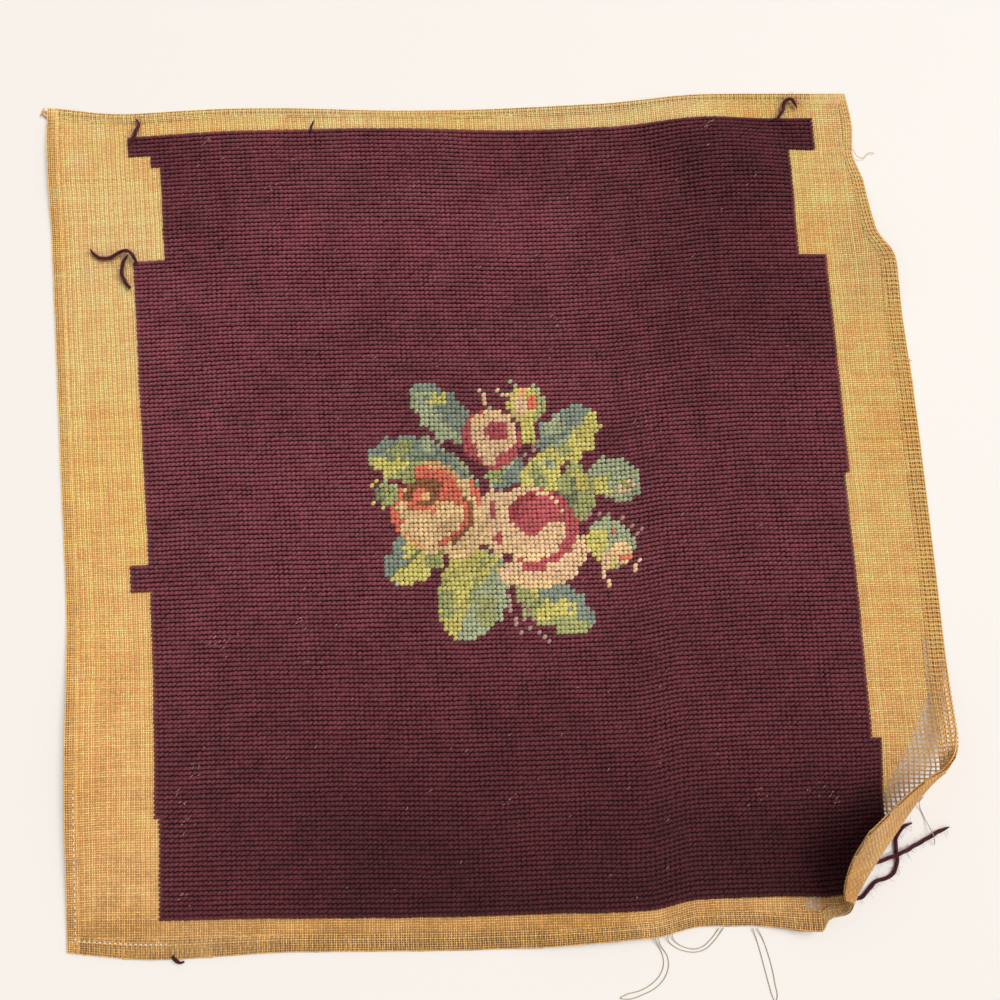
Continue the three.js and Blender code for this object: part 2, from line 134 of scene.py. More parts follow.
def fibre_material(name, roughness, sheen, grain, bump, streaks):
    """Cloth fibre: the piece's own colours, mottled by fine fibres that also roughen the surface."""
    material = bpy.data.materials.new(name)
    material.use_nodes = True
    nodes, links = material.node_tree.nodes, material.node_tree.links
    shader = nodes["Principled BSDF"]
    set_inputs(shader, {"Roughness": roughness, "Specular IOR Level": FIBRE_SHINE})
    set_inputs(shader, {"Sheen Weight": sheen, "Sheen Roughness": SHEEN_SPREAD})
    place = nodes.new("ShaderNodeTexCoord")
    colour = nodes.new("ShaderNodeAttribute")
    colour.attribute_name = "colour"
    fibres = nodes.new("ShaderNodeTexNoise")
    set_inputs(fibres, {"Scale": grain, "Detail": FIBRE_DETAIL})
    links.new(place.outputs["Object"], fibres.inputs["Vector"])
    spread = nodes.new("ShaderNodeMapRange")
    set_inputs(spread, {"From Min": FIBRE_RANGE[0], "From Max": FIBRE_RANGE[1]})
    set_inputs(spread, {"To Min": 1 - streaks, "To Max": 1 + streaks})
    links.new(fibres.outputs["Fac"], spread.inputs["Value"])
    tint = nodes.new("ShaderNodeVectorMath")
    tint.operation = "SCALE"
    links.new(colour.outputs["Color"], tint.inputs[0])
    links.new(spread.outputs["Result"], tint.inputs["Scale"])
    links.new(tint.outputs["Vector"], shader.inputs["Base Color"])
    relief = nodes.new("ShaderNodeBump")
    set_inputs(relief, {"Strength": bump, "Distance": FIBRE_DEPTH * MM})
    links.new(fibres.outputs["Fac"], relief.inputs["Height"])
    links.new(relief.outputs["Normal"], shader.inputs["Normal"])
    return material


def ease(share):
    """A share from 0 to 1, with a smooth start and stop."""
    return share * share * (3 - 2 * share)


def smooth_route(route, step):
    """Points at even steps along a smooth curve through a route's points."""
    route = np.array(route) + ROUTE_SHIFT
    gaps = np.linalg.norm(np.diff(route, axis=0), axis=1)
    marks = np.concatenate([[0], np.cumsum(gaps)])
    tangents = np.gradient(route, marks, axis=0)
    fine = np.linspace(0, marks[-1], int(marks[-1] / step) + 2)
    k = np.clip(np.searchsorted(marks, fine, side="right") - 1, 0, len(gaps) - 1)
    t = ((fine - marks[k]) / gaps[k])[:, None]
    pull = t * (1 - t) * gaps[k][:, None]
    bend = (1 - t) * tangents[k] - t * tangents[k + 1]
    return route[k] * (1 - ease(t)) + route[k + 1] * ease(t) + pull * bend


def unit(vectors):
    """Vectors brought to a length of 1."""
    return vectors / np.linalg.norm(vectors, axis=-1, keepdims=True)


TAPER_DIAMETERS = {"start": 1.5, "end": 2.2}
PLY_DEPTH = 0.14
GROOVE_SHADE, PLY_SHADE = 0.4, 0.7
NEARLY_UP = (0.0, 0.05, 1.0)


def plied_strand(route, diameter, plies, twist, sides, ends):
    """Points and faces of a twisted strand along a line, its last stretches thinned to shares of it."""
    along = unit(np.gradient(route, axis=0))
    across = unit(np.cross(along, NEARLY_UP))
    up = np.cross(across, along)
    length = np.concatenate([[0], np.cumsum(np.linalg.norm(np.diff(route, axis=0), axis=1))])
    near_start = np.clip(length / (TAPER_DIAMETERS["start"] * diameter), 0, 1)
    near_end = np.clip((length[-1] - length) / (TAPER_DIAMETERS["end"] * diameter), 0, 1)
    taper = (ends[0] + (1 - ends[0]) * near_start) * (ends[1] + (1 - ends[1]) * near_end)
    angle = np.arange(sides) * tau / sides
    lobes = np.cos(plies * (angle[None, :] - length[:, None] * tau / (plies * twist)))
    radius = diameter / 2 * taper[:, None] * (1 - PLY_DEPTH + PLY_DEPTH * lobes)
    rings = (
        route[:, None, :]
        + (radius * np.cos(angle))[:, :, None] * across[:, None, :]
        + (radius * np.sin(angle))[:, :, None] * up[:, None, :]
    )
    ring = np.arange(len(route) - 1)[:, None] * sides
    side = np.arange(sides)[None, :]
    after = (side + 1) % sides
    walls = np.stack([ring + side, ring + after, ring + sides + after, ring + sides + side], -1)
    faces = walls.reshape(-1, 4)[:, ::-1].tolist()
    last = (len(route) - 1) * sides
    faces.append(list(range(sides)))
    faces.append([last + k for k in reversed(range(sides))])
    groove = np.broadcast_to(0.5 + 0.5 * lobes, radius.shape)
    return rings.reshape(-1, 3), faces, groove.reshape(-1)


def strand_piece(name, route, diameter, plies, twist, sides, ends, colour, material):
    """Piece of one twisted strand, with painted shade in the grooves between its plies."""
    points, faces, groove = plied_strand(route, diameter, plies, twist, sides, ends)
    shade = np.ones((len(points), 4))
    shade[:, :3] = linear(colour)[:3] * (GROOVE_SHADE + PLY_SHADE * groove)[:, None]
    return piece_from_arrays(name, points, faces, shade, material)


YARN_COLOUR = (80, 29, 41)
YARN_TIPS = (0.8, 0.35)
wool = fibre_material("wool", roughness=0.85, sheen=0.08, grain=1500, bump=0.5, streaks=0.25)
for name, points in YARN_ROUTES.items():
    line = smooth_route(points, ROUTE_STEP)
    yarn = strand_piece(
        f"{name}_yarn", line, YARN, YARN_PLIES, YARN_TWIST, YARN_SIDES, YARN_TIPS, YARN_COLOUR, wool
    )
    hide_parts(name)


# Sewing threads
# Pale two-ply cotton from the machine-sewn hems: two long loops and a double arc that have pulled
# out of the bottom hem, and a single end at the rolled corner.
THREAD = 0.5
THREAD_PLIES = 2
THREAD_TIPS = (1, 1)
THREAD_TWIST = 1.6
THREAD_SIDES = 8
THREAD_STEP = 0.4
THREAD_COLOUR = (206, 188, 164)
THREAD_ROUTES = {
    "thread_loop_left": [
        (94.4, -231.3, 3.0), (96.4, -236.4, 0.9), (99.6, -241.4, 0.3), (100.2, -246.4, 0.3),
        (98.6, -251.4, 0.3), (94.4, -256.4, 0.3), (86.6, -260.6, 0.3), (78.0, -262.9, 0.3),
        (74.6, -262.3, 0.3), (77.6, -260.7, 0.3), (85.2, -258.6, 0.3), (91.6, -255.0, 0.3),
        (95.8, -250.6, 0.3), (97.6, -245.8, 0.3), (97.0, -240.6, 0.3), (94.8, -236.0, 0.9),
        (92.6, -231.6, 3.0),
    ],
    "thread_arc_outer": [
        (99.4, -230.4, 2.7), (100.6, -234.2, 0.8), (104.0, -237.2, 0.3), (109.4, -239.2, 0.3),
        (114.2, -239.6, 0.3), (119.8, -238.0, 0.3), (123.8, -234.6, 0.3), (127.0, -230.8, 0.4),
        (129.4, -227.2, 1.1),
    ],
    "thread_arc_inner": [
        (102.0, -229.9, 2.5), (103.2, -233.4, 0.8), (106.2, -236.0, 0.3), (110.4, -237.6, 0.3),
        (114.2, -238.0, 0.3), (118.6, -236.6, 0.3), (122.2, -233.6, 0.3), (125.0, -230.4, 0.4),
        (127.0, -227.4, 1.1),
    ],
    "thread_loop_right": [
        (144.6, -227.4, 1.3), (146.4, -232.6, 0.4), (148.4, -239.6, 0.3), (150.2, -247.0, 0.3),
        (152.2, -255.0, 0.3), (154.2, -262.0, 0.3), (155.4, -264.4, 0.3), (156.4, -262.0, 0.3),
        (155.6, -255.6, 0.3), (154.4, -248.2, 0.3), (152.4, -240.4, 0.3), (149.8, -232.8, 0.4),
        (147.0, -227.4, 1.4),
    ],
    "thread_end_corner": [
        (232.4, -158.6, 14.9), (233.6, -160.8, 8.6), (234.8, -163.4, 3.2), (236.2, -166.6, 0.8),
        (237.8, -170.4, 0.5), (239.3, -174.2, 1.4), (240.6, -177.6, 2.8), (241.6, -180.6, 3.2),
        (242.2, -183.2, 2.5), (242.5, -185.2, 1.0),
    ],
}
cotton = fibre_material("cotton_thread", roughness=0.8, sheen=0.1, grain=2500, bump=0.2, streaks=0.1)
for name, points in THREAD_ROUTES.items():
    line = smooth_route(points, THREAD_STEP)
    thread = strand_piece(
        f"{name}_cotton", line, THREAD, THREAD_PLIES, THREAD_TWIST, THREAD_SIDES, THREAD_TIPS,
        THREAD_COLOUR, cotton,
    )
    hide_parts(name)


# Canvas
# Ten-mesh double-thread cotton canvas, woven in pairs with a hole between each two pairs. It lies
# on the table with shallow buckles, and its lower right corner rises, bends and stands as a flap.
COLUMNS, ROWS = 154, 178
MARGIN = {"left": 18, "right": 17, "bottom": 7, "top": 6}
PITCH = 2.47
LEFT_MARGIN = 46.7
LEFT_SIDE = [(0.0, -169), (0.3, -176.5), (0.6, -189), (1.0, -206.3)]
RIGHT_SIDE = [(0.0, 218), (0.3, 212.5), (0.6, 205), (1.0, 195)]
BOTTOM_END = [
    (0.0, -223.7), (0.15, -222.8), (0.4, -222), (0.55, -220),
    (0.67, -218.5), (0.74, -213), (0.88, -211.5), (1.0, -210.6),
]
TOP_END = [
    (0.0, 214), (0.15, 218), (0.4, 219.8), (0.55, 218.5),
    (0.67, 220), (0.74, 221.5), (0.88, 226), (1.0, 226),
]
RIGHT_MARGIN = [
    (-0.03, 34), (0.1, 39), (0.2, 42), (0.55, 42), (0.74, 40), (0.8, 38.4),
    (0.84, 29.6), (0.91, 26.6), (0.95, 22), (0.99, 23.4), (1.04, 20.7),
]
BOTTOM_MARGIN = [
    (-0.12, 15.5), (0.0, 19.8), (0.2, 16.8), (0.5, 16.6), (0.67, 13.4), (0.8, 14.2), (0.9, 17),
    (0.912, 10.3), (0.96, 8.5), (0.98, 14.5), (1.01, 11.5), (1.05, 8.5), (1.11, 5),
]
TOP_MARGIN = [
    (-0.12, 21.5), (0.01, 14.5), (0.2, 13.8), (0.4, 11), (0.6, 14.3), (0.92, 15.6), (1.11, 15.5),
]
BUCKLES = [
    {"x": -228, "y": -150, "long": 95, "wide": 40, "turn": 92, "rise": 6},
    {"x": 138, "y": 205, "long": 75, "wide": 34, "turn": -32, "rise": 4.5},
    {"x": 0, "y": -165, "long": 72, "wide": 36, "turn": 28, "rise": 3.5},
    {"x": 88, "y": -160, "long": 62, "wide": 30, "turn": 78, "rise": 3.5},
    {"x": 238, "y": 148, "long": 46, "wide": 34, "turn": 80, "rise": 5},
    {"x": 68, "y": -232, "long": 60, "wide": 30, "turn": 4, "rise": 3.5},
    {"x": -252, "y": 196, "long": 50, "wide": 34, "turn": 80, "rise": 2.5},
    {"x": 120, "y": 60, "long": 85, "wide": 36, "turn": 62, "rise": 2.5},
    {"x": -120, "y": 60, "long": 80, "wide": 36, "turn": -58, "rise": 2.2},
]
FOLD = {"x": 214.2, "y": -124.7, "outward": radians(-36.6)}
RAMP = {"length": 34, "radius": 75}
BEND_RADIUS = 8
FLAP_TURN = {"upper": 126, "lower": 145, "from": 45, "to": 85}
CREASE_BOW = {"depth": 3.9, "length": 88}
WORKED = [
    {"from": 0, "to": 5, "left": 1, "right": 148},
    {"from": 5, "to": 10, "left": 1, "right": 152},
    {"from": 10, "to": 21, "left": 1, "right": 155},
    {"from": 21, "to": 33, "left": 0, "right": 155},
    {"from": 33, "to": 70, "left": 0, "right": 153},
    {"from": 70, "to": 76, "left": -4, "right": 153},
    {"from": 76, "to": 92, "left": 0, "right": 153},
    {"from": 92, "to": 144, "left": 0, "right": 154},
    {"from": 144, "to": 147, "left": 0, "right": 148},
    {"from": 147, "to": 170, "left": 7, "right": 148},
    {"from": 170, "to": 173, "left": 5, "right": 154},
    {"from": 173, "to": 178, "left": 0, "right": 154},
]


def read(table, place):
    """Smooth value of a table at a place: never past its rows between them, and straight outside."""
    key, value = np.array(table, float).T
    place = np.asarray(place, float)
    slope = np.diff(value) / np.diff(key)
    before, after = slope[:-1], slope[1:]
    mean = 2 * before * after / np.where(before + after == 0, 1, before + after)
    tangent = np.concatenate([slope[:1], np.where(before * after > 0, mean, 0), slope[-1:]])
    k = np.clip(np.searchsorted(key, place, side="right") - 1, 0, len(key) - 2)
    width = key[k + 1] - key[k]
    t = (place - key[k]) / width
    bend = t * (1 - t) * width * ((1 - t) * tangent[k] - t * tangent[k + 1])
    inside = value[k] * (1 - ease(t)) + value[k + 1] * ease(t) + bend
    below = value[0] + (place - key[0]) * slope[0]
    past = value[-1] + (place - key[-1]) * slope[-1]
    return np.where(place <= key[0], below, np.where(place >= key[-1], past, inside))


def margins(column, row):
    """Widths of the bare canvas at the right, bottom and top, across from a stitch."""
    across, up = column / COLUMNS, row / ROWS
    return read(RIGHT_MARGIN, up), read(BOTTOM_MARGIN, across), read(TOP_MARGIN, across)


def flat_place(column, row, even_pitch=False):
    """Flat place of a stitch count; the margins' counts fill them, or go on at the weave's pitch."""
    column, row = np.broadcast_arrays(np.asarray(column, float), np.asarray(row, float))
    across, up = column / COLUMNS, row / ROWS
    left, right = read(LEFT_SIDE, up), read(RIGHT_SIDE, up)
    bottom, top = read(BOTTOM_END, across), read(TOP_END, across)
    wide = [w / MARGIN[s] for w, s in zip(margins(column, row), ("right", "bottom", "top"))]
    if even_pitch:
        wide = [PITCH, PITCH, PITCH]
    x = left + (right - left) * across
    y = bottom + (top - bottom) * up
    x = np.where(column < 0, left + column / MARGIN["left"] * LEFT_MARGIN, x)
    x = np.where(column > COLUMNS, right + (column - COLUMNS) * wide[0], x)
    y = np.where(row < 0, bottom + row * wide[1], y)
    y = np.where(row > ROWS, top + (row - ROWS) * wide[2], y)
    return x, y


def fold_place(x, y):
    """How far flat places are past the line where the corner starts to rise, and how far along it."""
    out_x, out_y = cos(FOLD["outward"]), sin(FOLD["outward"])
    past = (x - FOLD["x"]) * out_x + (y - FOLD["y"]) * out_y
    along = (x - FOLD["x"]) * out_y - (y - FOLD["y"]) * out_x
    return past, along


def lie(x, y):
    """Lying place of a flat place: buckles, then the ramp, the bend and the flap of the corner."""
    height = np.zeros(np.shape(x))
    for b in BUCKLES:
        c, s = cos(radians(b["turn"])), sin(radians(b["turn"]))
        length = ((x - b["x"]) * c + (y - b["y"]) * s) / b["long"]
        breadth = ((y - b["y"]) * c - (x - b["x"]) * s) / b["wide"]
        height = height + b["rise"] * np.maximum(0, 1 - length**2 - breadth**2) ** 2
    past, along = fold_place(x, y)
    flap = FLAP_TURN
    turned = ease(np.clip((along - flap["from"]) / (flap["to"] - flap["from"]), 0, 1))
    end = np.radians(flap["upper"] + (flap["lower"] - flap["upper"]) * turned)
    ramp = np.clip(past, 0, RAMP["length"]) / RAMP["radius"]
    start = RAMP["length"] / RAMP["radius"]
    over = np.maximum(past - RAMP["length"], 0)
    turn = np.minimum(start + over / BEND_RADIUS, end)
    straight = np.maximum(0, over - BEND_RADIUS * (end - start))
    bent = over > 0
    reach = np.where(past > 0, RAMP["radius"] * np.sin(ramp), past)
    reach = reach + bent * (BEND_RADIUS * (np.sin(turn) - sin(start)) + straight * np.cos(end))
    rise = RAMP["radius"] * (1 - np.cos(ramp))
    rise = rise + bent * (BEND_RADIUS * (cos(start) - np.cos(turn)) + straight * np.sin(end))
    share = np.clip(along / CREASE_BOW["length"], 0, 1)
    drawn = ease(np.clip(past / RAMP["length"], 0, 1))
    moved = reach - past - CREASE_BOW["depth"] * (1 - (2 * share - 1) ** 4) * drawn
    lying_x = x + moved * cos(FOLD["outward"])
    lying_y = y + moved * sin(FOLD["outward"])
    return np.stack([lying_x, lying_y, height + rise], -1) + ROUTE_SHIFT


def above(x, y, height):
    """Lying place at a height above the sheet's underside, and the sheet's normal there."""
    step = 0.05
    along_x = lie(x + step, y) - lie(x - step, y)
    along_y = lie(x, y + step) - lie(x, y - step)
    normal = unit(np.cross(along_x, along_y))
    return lie(x, y) + normal * np.asarray(height)[..., None], normal


def is_worked(column, row):
    """Whether the stitches at whole counts belong to the worked field."""
    inside = np.zeros(np.broadcast(column, row).shape, bool)
    for s in WORKED:
        rows = (row >= s["from"]) & (row < s["to"])
        inside |= rows & (column >= s["left"]) & (column < s["right"])
    return inside


PATCH_GRID = 64
PATCH_SHIFT = (31.3, 27.7)


def mottle(kind, x, y):
    """Smooth uneven patches of a kind: about its size, and from minus to plus its spread."""
    grid = np.random.default_rng(kind["seed"]).uniform(-1, 1, (PATCH_GRID, PATCH_GRID))
    u, v = (np.asarray(p) / kind["size"] + shift for p, shift in zip((x, y), PATCH_SHIFT))
    i, j = np.floor(u).astype(int), np.floor(v).astype(int)
    s, t = ease(u - i), ease(v - j)
    here, after = i % PATCH_GRID, (i + 1) % PATCH_GRID
    low, high = (grid[here, k % PATCH_GRID] * (1 - s) + grid[after, k % PATCH_GRID] * s for k in (j, j + 1))
    return kind["spread"] * (low * (1 - t) + high * t)


TUBE_SIDE, TUBE_FOOT = 0.9, 0.5


def thread_tubes(line, up, shown, radius):
    """Three-sided tubes along many lines at once, where both ends of a step are shown."""
    along = unit(np.gradient(line, axis=1))
    side = TUBE_SIDE * unit(np.cross(along, up))
    radius = np.broadcast_to(radius, shown.shape)[:, :, None, None]
    rings = line[:, :, None, :] + radius * np.stack([up, side - TUBE_FOOT * up, -side - TUBE_FOOT * up], 2)
    threads, nodes = shown.shape
    number = (np.arange(threads * nodes) * 3).reshape(threads, nodes)
    here = number[:, :-1][shown[:, :-1] & shown[:, 1:]][:, None]
    corner = np.arange(3)[None, :]
    after = (corner + 1) % 3
    first = np.stack([here + corner, here + 3 + corner, here + 3 + after], -1).reshape(-1, 3)
    second = np.stack([here + corner, here + 3 + after, here + after], -1).reshape(-1, 3)
    triangles = np.concatenate([first, second])[:, ::-1]
    used, packed = np.unique(triangles, return_inverse=True)
    return rings.reshape(-1, 3)[used], packed.reshape(-1, 3), used


WARP_RADIUS, WEFT_RADIUS = 0.40, 0.37
WARP_APART = 0.2
WEFT_APART = 0.225
WEAVE_MIDDLE = 0.60
WEAVE_SWING = 0.19
BODY_HEIGHT = 0.4
CANVAS_COLOUR = np.array([254, 202, 131])
CANVAS_PALE = np.array([254, 208, 147])
CANVAS_DEEP = np.array([240, 185, 101])
# Painted shade: the sheet under the threads takes the canvas colour darkened, for the shade seen through
# the holes.
BODY_SHADE = (0.62, 0.44, 0.24)
# Under the field: the wool beneath the stitches, painted dark as the shade in the gaps between them.
SHADED_WOOL_BENEATH = (40, 14, 20)
PALE_LEVEL = 0.45
PALE_PATCHES = {"size": 62, "spread": 0.9, "seed": 3}
PALE_SPOTS = [(-222, 217), (-234, 199), (-223, 133), (-221, -128), (-216, -96)]
PALE_SPOT_SIZE = 4.5
DEEP_SHARE = 0.6
DEEP_PATCHES = {"size": 34, "spread": 0.5, "seed": 4}
DEEP_LEFT = {"from": -230, "over": 24, "most": 0.7}
DEEP_FOOT = {"from": -206, "over": 18, "most": 0.9}
SPECKS = {"size": 7, "spread": 0.04, "seed": 5}
THREAD_SHADES = 0.06
# Painted shade: the doubled canvas at the foot beside the rolled corner is darkened for the shade it lies
# in.
SHADED_DOUBLED_STRIP = {"from": 181.5, "to": 203.0, "below": -208, "darker": 0.06}
SHEER_LINE = {"x": 245.0, "y": -104.5, "along": (-25.7, -55.2), "right_of": 205, "below": -60}
SHEER_STRIP = {"from": 174.0, "to": 181.5, "lowest": -4}
SHEER_BESIDE_HEM = {"outer": 4.7, "inner": 3.3, "from": -105, "to": -76}
SHEER_END = 43
SHEER_THREAD = 0.58
SHEER_PAIR = 0.46
SHEER_SHADE = np.array([0.88, 0.83, 0.74])
LOOSE_FOOT = 0.86
# Painted light over the bare canvas: dimmer towards the foot, brighter towards the top.
CANVAS_LIGHT_LEVELS = [(-240, 0.885), (-190, 0.955), (-100, 1.0), (20, 1.045), (240, 1.045)]
# Painted highlight and shade on the canvas threads: paler where a thread rises over a crossing, darker
# where it dips under.
RISE_SHADE = 0.24
RISE_HIGHLIGHT_TINT = np.array([0.65, 1.0, 1.4])
BRIGHTEST = 0.99
OPEN_ROWS = [{"row": 167, "from": -14, "to": 2}, {"row": 99, "from": 157, "to": 167}]
canvas_random = np.random.default_rng(11)


def canvas_shade(x, y, threads):
    """Bare canvas colours: golden, paler where handled, deeper at the left side and foot; painted light,
    dimmer at the foot.
    """
    pale = np.clip(PALE_LEVEL + mottle(PALE_PATCHES, x, y), 0, 1)
    for spot_x, spot_y in PALE_SPOTS:
        pale = pale + np.exp(-((x - spot_x) ** 2 + (y - spot_y) ** 2) / PALE_SPOT_SIZE**2)
    deep = mottle(DEEP_PATCHES, x, y)
    for edge, place in ((DEEP_LEFT, x), (DEEP_FOOT, y)):
        deep = deep + np.clip((edge["from"] - place) / edge["over"], 0, edge["most"])
    tone = CANVAS_COLOUR + (CANVAS_PALE - CANVAS_COLOUR) * pale[..., None]
    tone = tone + (CANVAS_DEEP - tone) * DEEP_SHARE * np.clip(deep, 0, 1)[..., None]
    strip = SHADED_DOUBLED_STRIP
    shaded_doubled = (x > strip["from"]) & (x < strip["to"]) & (y < strip["below"])
    light = read(CANVAS_LIGHT_LEVELS, y) + mottle(SPECKS, x, y) + THREAD_SHADES * threads
    # Painted shade on the doubled strip by the rolled corner.
    light = light - strip["darker"] * shaded_doubled
    return linear(np.clip(tone * light[..., None], 0, 255))


def is_sheer(x, y, row):
    """Where the canvas is single, so that the table shows through: by the rolled corner."""
    line = SHEER_LINE
    beside = (x - line["x"]) * line["along"][1] - (y - line["y"]) * line["along"][0]
    past, _ = fold_place(x, y)
    single = (beside < 0) & (x > line["right_of"]) & (y < line["below"]) & (past < SHEER_END)
    foot = SHEER_STRIP
    strip = (x > foot["from"]) & (x < foot["to"]) & (row > foot["lowest"]) & (row < 0)
    hem = SHEER_BESIDE_HEM
    outer, inner = (flat_place(last_column - hem[side], row)[0] for side in ("outer", "inner"))
    narrow = (x > outer) & (x < inner) & (y > hem["from"]) & (y < hem["to"])
    return single | strip | narrow


first_column, last_column = -MARGIN["left"], COLUMNS + MARGIN["right"]
grid_columns = np.arange(first_column, last_column)
grid_rows = np.arange(-MARGIN["bottom"] - 2, ROWS + MARGIN["top"] + 3)
cell_column, cell_row = np.meshgrid(grid_columns, grid_rows, indexing="ij")
right_width, bottom_width, top_width = margins(cell_column + 0.5, cell_row + 0.5)
EDGE_INSET = 0.3
in_outline = (
    ((cell_column + 0.5 - COLUMNS) * PITCH < right_width - EDGE_INSET)
    & (-(cell_row + 0.5) * PITCH < bottom_width - EDGE_INSET)
    & ((cell_row + 0.5 - ROWS) * PITCH < top_width - EDGE_INSET)
)
bare = in_outline & ~is_worked(cell_column, cell_row)
woven = bare.copy()
for axis in (0, 1):
    for step in (-1, 1):
        woven |= np.roll(bare, step, axis)
woven &= in_outline


THREAD_UNEVEN = 0.12
STEP_UNEVEN = 1.5


def coloured_threads(x, y, height, shown, radius, rise=0.0, darkening=1.0, under=False):
    """Threads along lines of flat places, as points, triangles and colours; painted highlight where they
    rise, painted shade where they dip, and shaded wool colour under the field.
    """
    line, up = above(x, y, height)
    by_thread = canvas_random.uniform(-1, 1, (len(line), 1)) + np.zeros(x.shape)
    points, triangles, used = thread_tubes(line, up, shown, radius * (1 + THREAD_UNEVEN * by_thread))
    colours = canvas_shade(x, y, by_thread + STEP_UNEVEN * canvas_random.uniform(-1, 1, x.shape))
    shade = (1 + RISE_SHADE * np.broadcast_to(rise, x.shape))[..., None] ** RISE_HIGHLIGHT_TINT
    colours[..., :3] = np.minimum(colours[..., :3] * shade * darkening, BRIGHTEST)
    colours[np.broadcast_to(under, x.shape)] = linear(SHADED_WOOL_BENEATH)
    return points, triangles, np.repeat(colours.reshape(-1, 4), 3, axis=0)[used]


def joined(parts):
    """Several sets of points, triangles and colours as one."""
    points, triangles, colours, count = [], [], [], 0
    for p, t, c in parts:
        points.append(p)
        triangles.append(t + count)
        colours.append(c)
        count += len(p)
    return np.concatenate(points), np.concatenate(triangles), np.concatenate(colours)


DRAWN_ASIDE = {"size": 8, "spread": 0.24, "seed": 21}
DRAWN_UP = {"size": 9, "spread": 0.2, "seed": 22}


def uneven_place(column, row):
    """Flat place of a thread's crossing, drawn a little aside by the handling of the canvas."""
    x, y = flat_place(column, row, even_pitch=True)
    return x + mottle(DRAWN_ASIDE, x, y), y + mottle(DRAWN_UP, x, y)


def over_under(steps):
    """1 where a thread passes over at its crossings, -1 where it passes under."""
    return np.where(steps % 2 == 0, 1, -1)


def weave(part):
    """Warp threads in pairs and weft threads of one part of the bare canvas; all paired where sheer."""
    middles = np.repeat(grid_rows, 2) + 0.5
    apart = np.tile([-WEFT_APART, WEFT_APART], len(grid_rows))
    marks = middles + apart
    shown = np.repeat(woven & part, 2, axis=1)
    under = np.repeat(is_worked(cell_column, cell_row), 2, axis=1)
    rise = over_under(grid_columns[:, None] + np.arange(len(marks))[None])
    drawn_out = np.zeros(shown.shape, bool)
    for one in OPEN_ROWS:
        inside = (grid_columns >= one["from"]) & (grid_columns < one["to"])
        upper = (marks > one["row"] + 0.5) & (marks < one["row"] + 1)
        drawn_out |= inside[:, None] & upper[None]
    lines = [(half, WARP_RADIUS, rise, shown) for half in (-WARP_APART, WARP_APART)]
    lines.append((0.0, WEFT_RADIUS, -rise, shown & ~drawn_out))
    parts = []
    for half, radius, swing, seen in lines:
        column = grid_columns[:, None] + 0.5
        x, y = uneven_place(column + half, marks[None])
        sheer = is_sheer(x, y, marks[None])
        together = np.where(sheer, SHEER_PAIR, 1)
        x, y = uneven_place(column + half * together, middles[None] + apart[None] * together)
        height = WEAVE_MIDDLE + WEAVE_SWING * swing
        # Painted shade on the single threads by the rolled corner.
        darkening = np.where(sheer[..., None], SHEER_SHADE, 1)
        thickness = radius * np.where(sheer, SHEER_THREAD, np.where(marks[None] < 0, LOOSE_FOOT, 1))
        thread = [x, y, height, seen, thickness, swing, darkening, under]
        if half == 0:
            thread = [np.swapaxes(values, 0, 1) for values in thread]
        parts.append(coloured_threads(*thread))
    return joined(parts)


def cloth_body():
    """Sheet under the canvas threads: the lower layer under the hems, elsewhere painted shade seen through
    the holes; shaded wool under the field.
    """
    columns = np.arange(first_column, last_column + 1)
    rows = np.arange(-MARGIN["bottom"], ROWS + MARGIN["top"] + 1)
    c, r = np.meshgrid(columns, rows, indexing="ij")
    x, y = flat_place(c, r)
    points, _ = above(x, y, np.full(x.shape, BODY_HEIGHT))
    middle_x, middle_y = flat_place(c[:-1, :-1] + 0.5, r[:-1, :-1] + 0.5)
    cells = ~is_sheer(middle_x, middle_y, r[:-1, :-1]) | is_worked(c[:-1, :-1], r[:-1, :-1])
    number = np.arange(c.size).reshape(c.shape)
    a, b = number[:-1, :-1][cells], number[1:, :-1][cells]
    d, e = number[1:, 1:][cells], number[:-1, 1:][cells]
    triangles = np.concatenate([np.stack([a, b, d], -1), np.stack([a, d, e], -1)])
    colours = canvas_shade(x, y, np.zeros(x.shape))
    # Painted shade seen through the holes of the weave.
    colours[..., :3] *= BODY_SHADE
    # Painted shade between the stitches: a dark maroon under the field.
    colours[is_worked(c, r) & is_worked(c - 1, r - 1)] = linear(SHADED_WOOL_BENEATH)
    used, packed = np.unique(triangles, return_inverse=True)
    return points.reshape(-1, 3)[used], packed.reshape(-1, 3), colours.reshape(-1, 4)[used]


canvas_cotton = fibre_material(
    "canvas_cotton", roughness=0.88, sheen=0.08, grain=1800, bump=0.3, streaks=0.12
)
canvas = piece_from_arrays("canvas_cloth", *cloth_body(), canvas_cotton)
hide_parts("canvas")
LEFT_PART, RIGHT_PART = 20, 134
WEAVE_PARTS = {
    "canvas_weave_left": cell_column < LEFT_PART,
    "canvas_weave_ends": (cell_column >= LEFT_PART - 1) & (cell_column <= RIGHT_PART),
    "canvas_weave_right": cell_column >= RIGHT_PART,
}
canvas_pieces = [
    piece_from_arrays(name, *weave(part), canvas_cotton) for name, part in WEAVE_PARTS.items()
]


# Hems
# The canvas edge turned over to the face and sewn down by machine, so the weave there is double:
# narrow at the left and top, wider at the right and bottom. Pale stitches show at the lower left.
HEM = {"left": 1.8, "right": 3.1, "bottom": 2.9, "top": 1.6}
HEM_PAIRS = {"left": 2, "right": 3, "bottom": 3, "top": 2}
HEM_MIDDLE = 1.5
HEM_SWING = 0.12
HEM_RADIUS = 0.36
HEM_WEFT_APART = {"left": 0.24, "right": 0.155, "bottom": 0.25, "top": 0.25}
HEM_DULL = np.array([0.97, 0.92, 0.84])
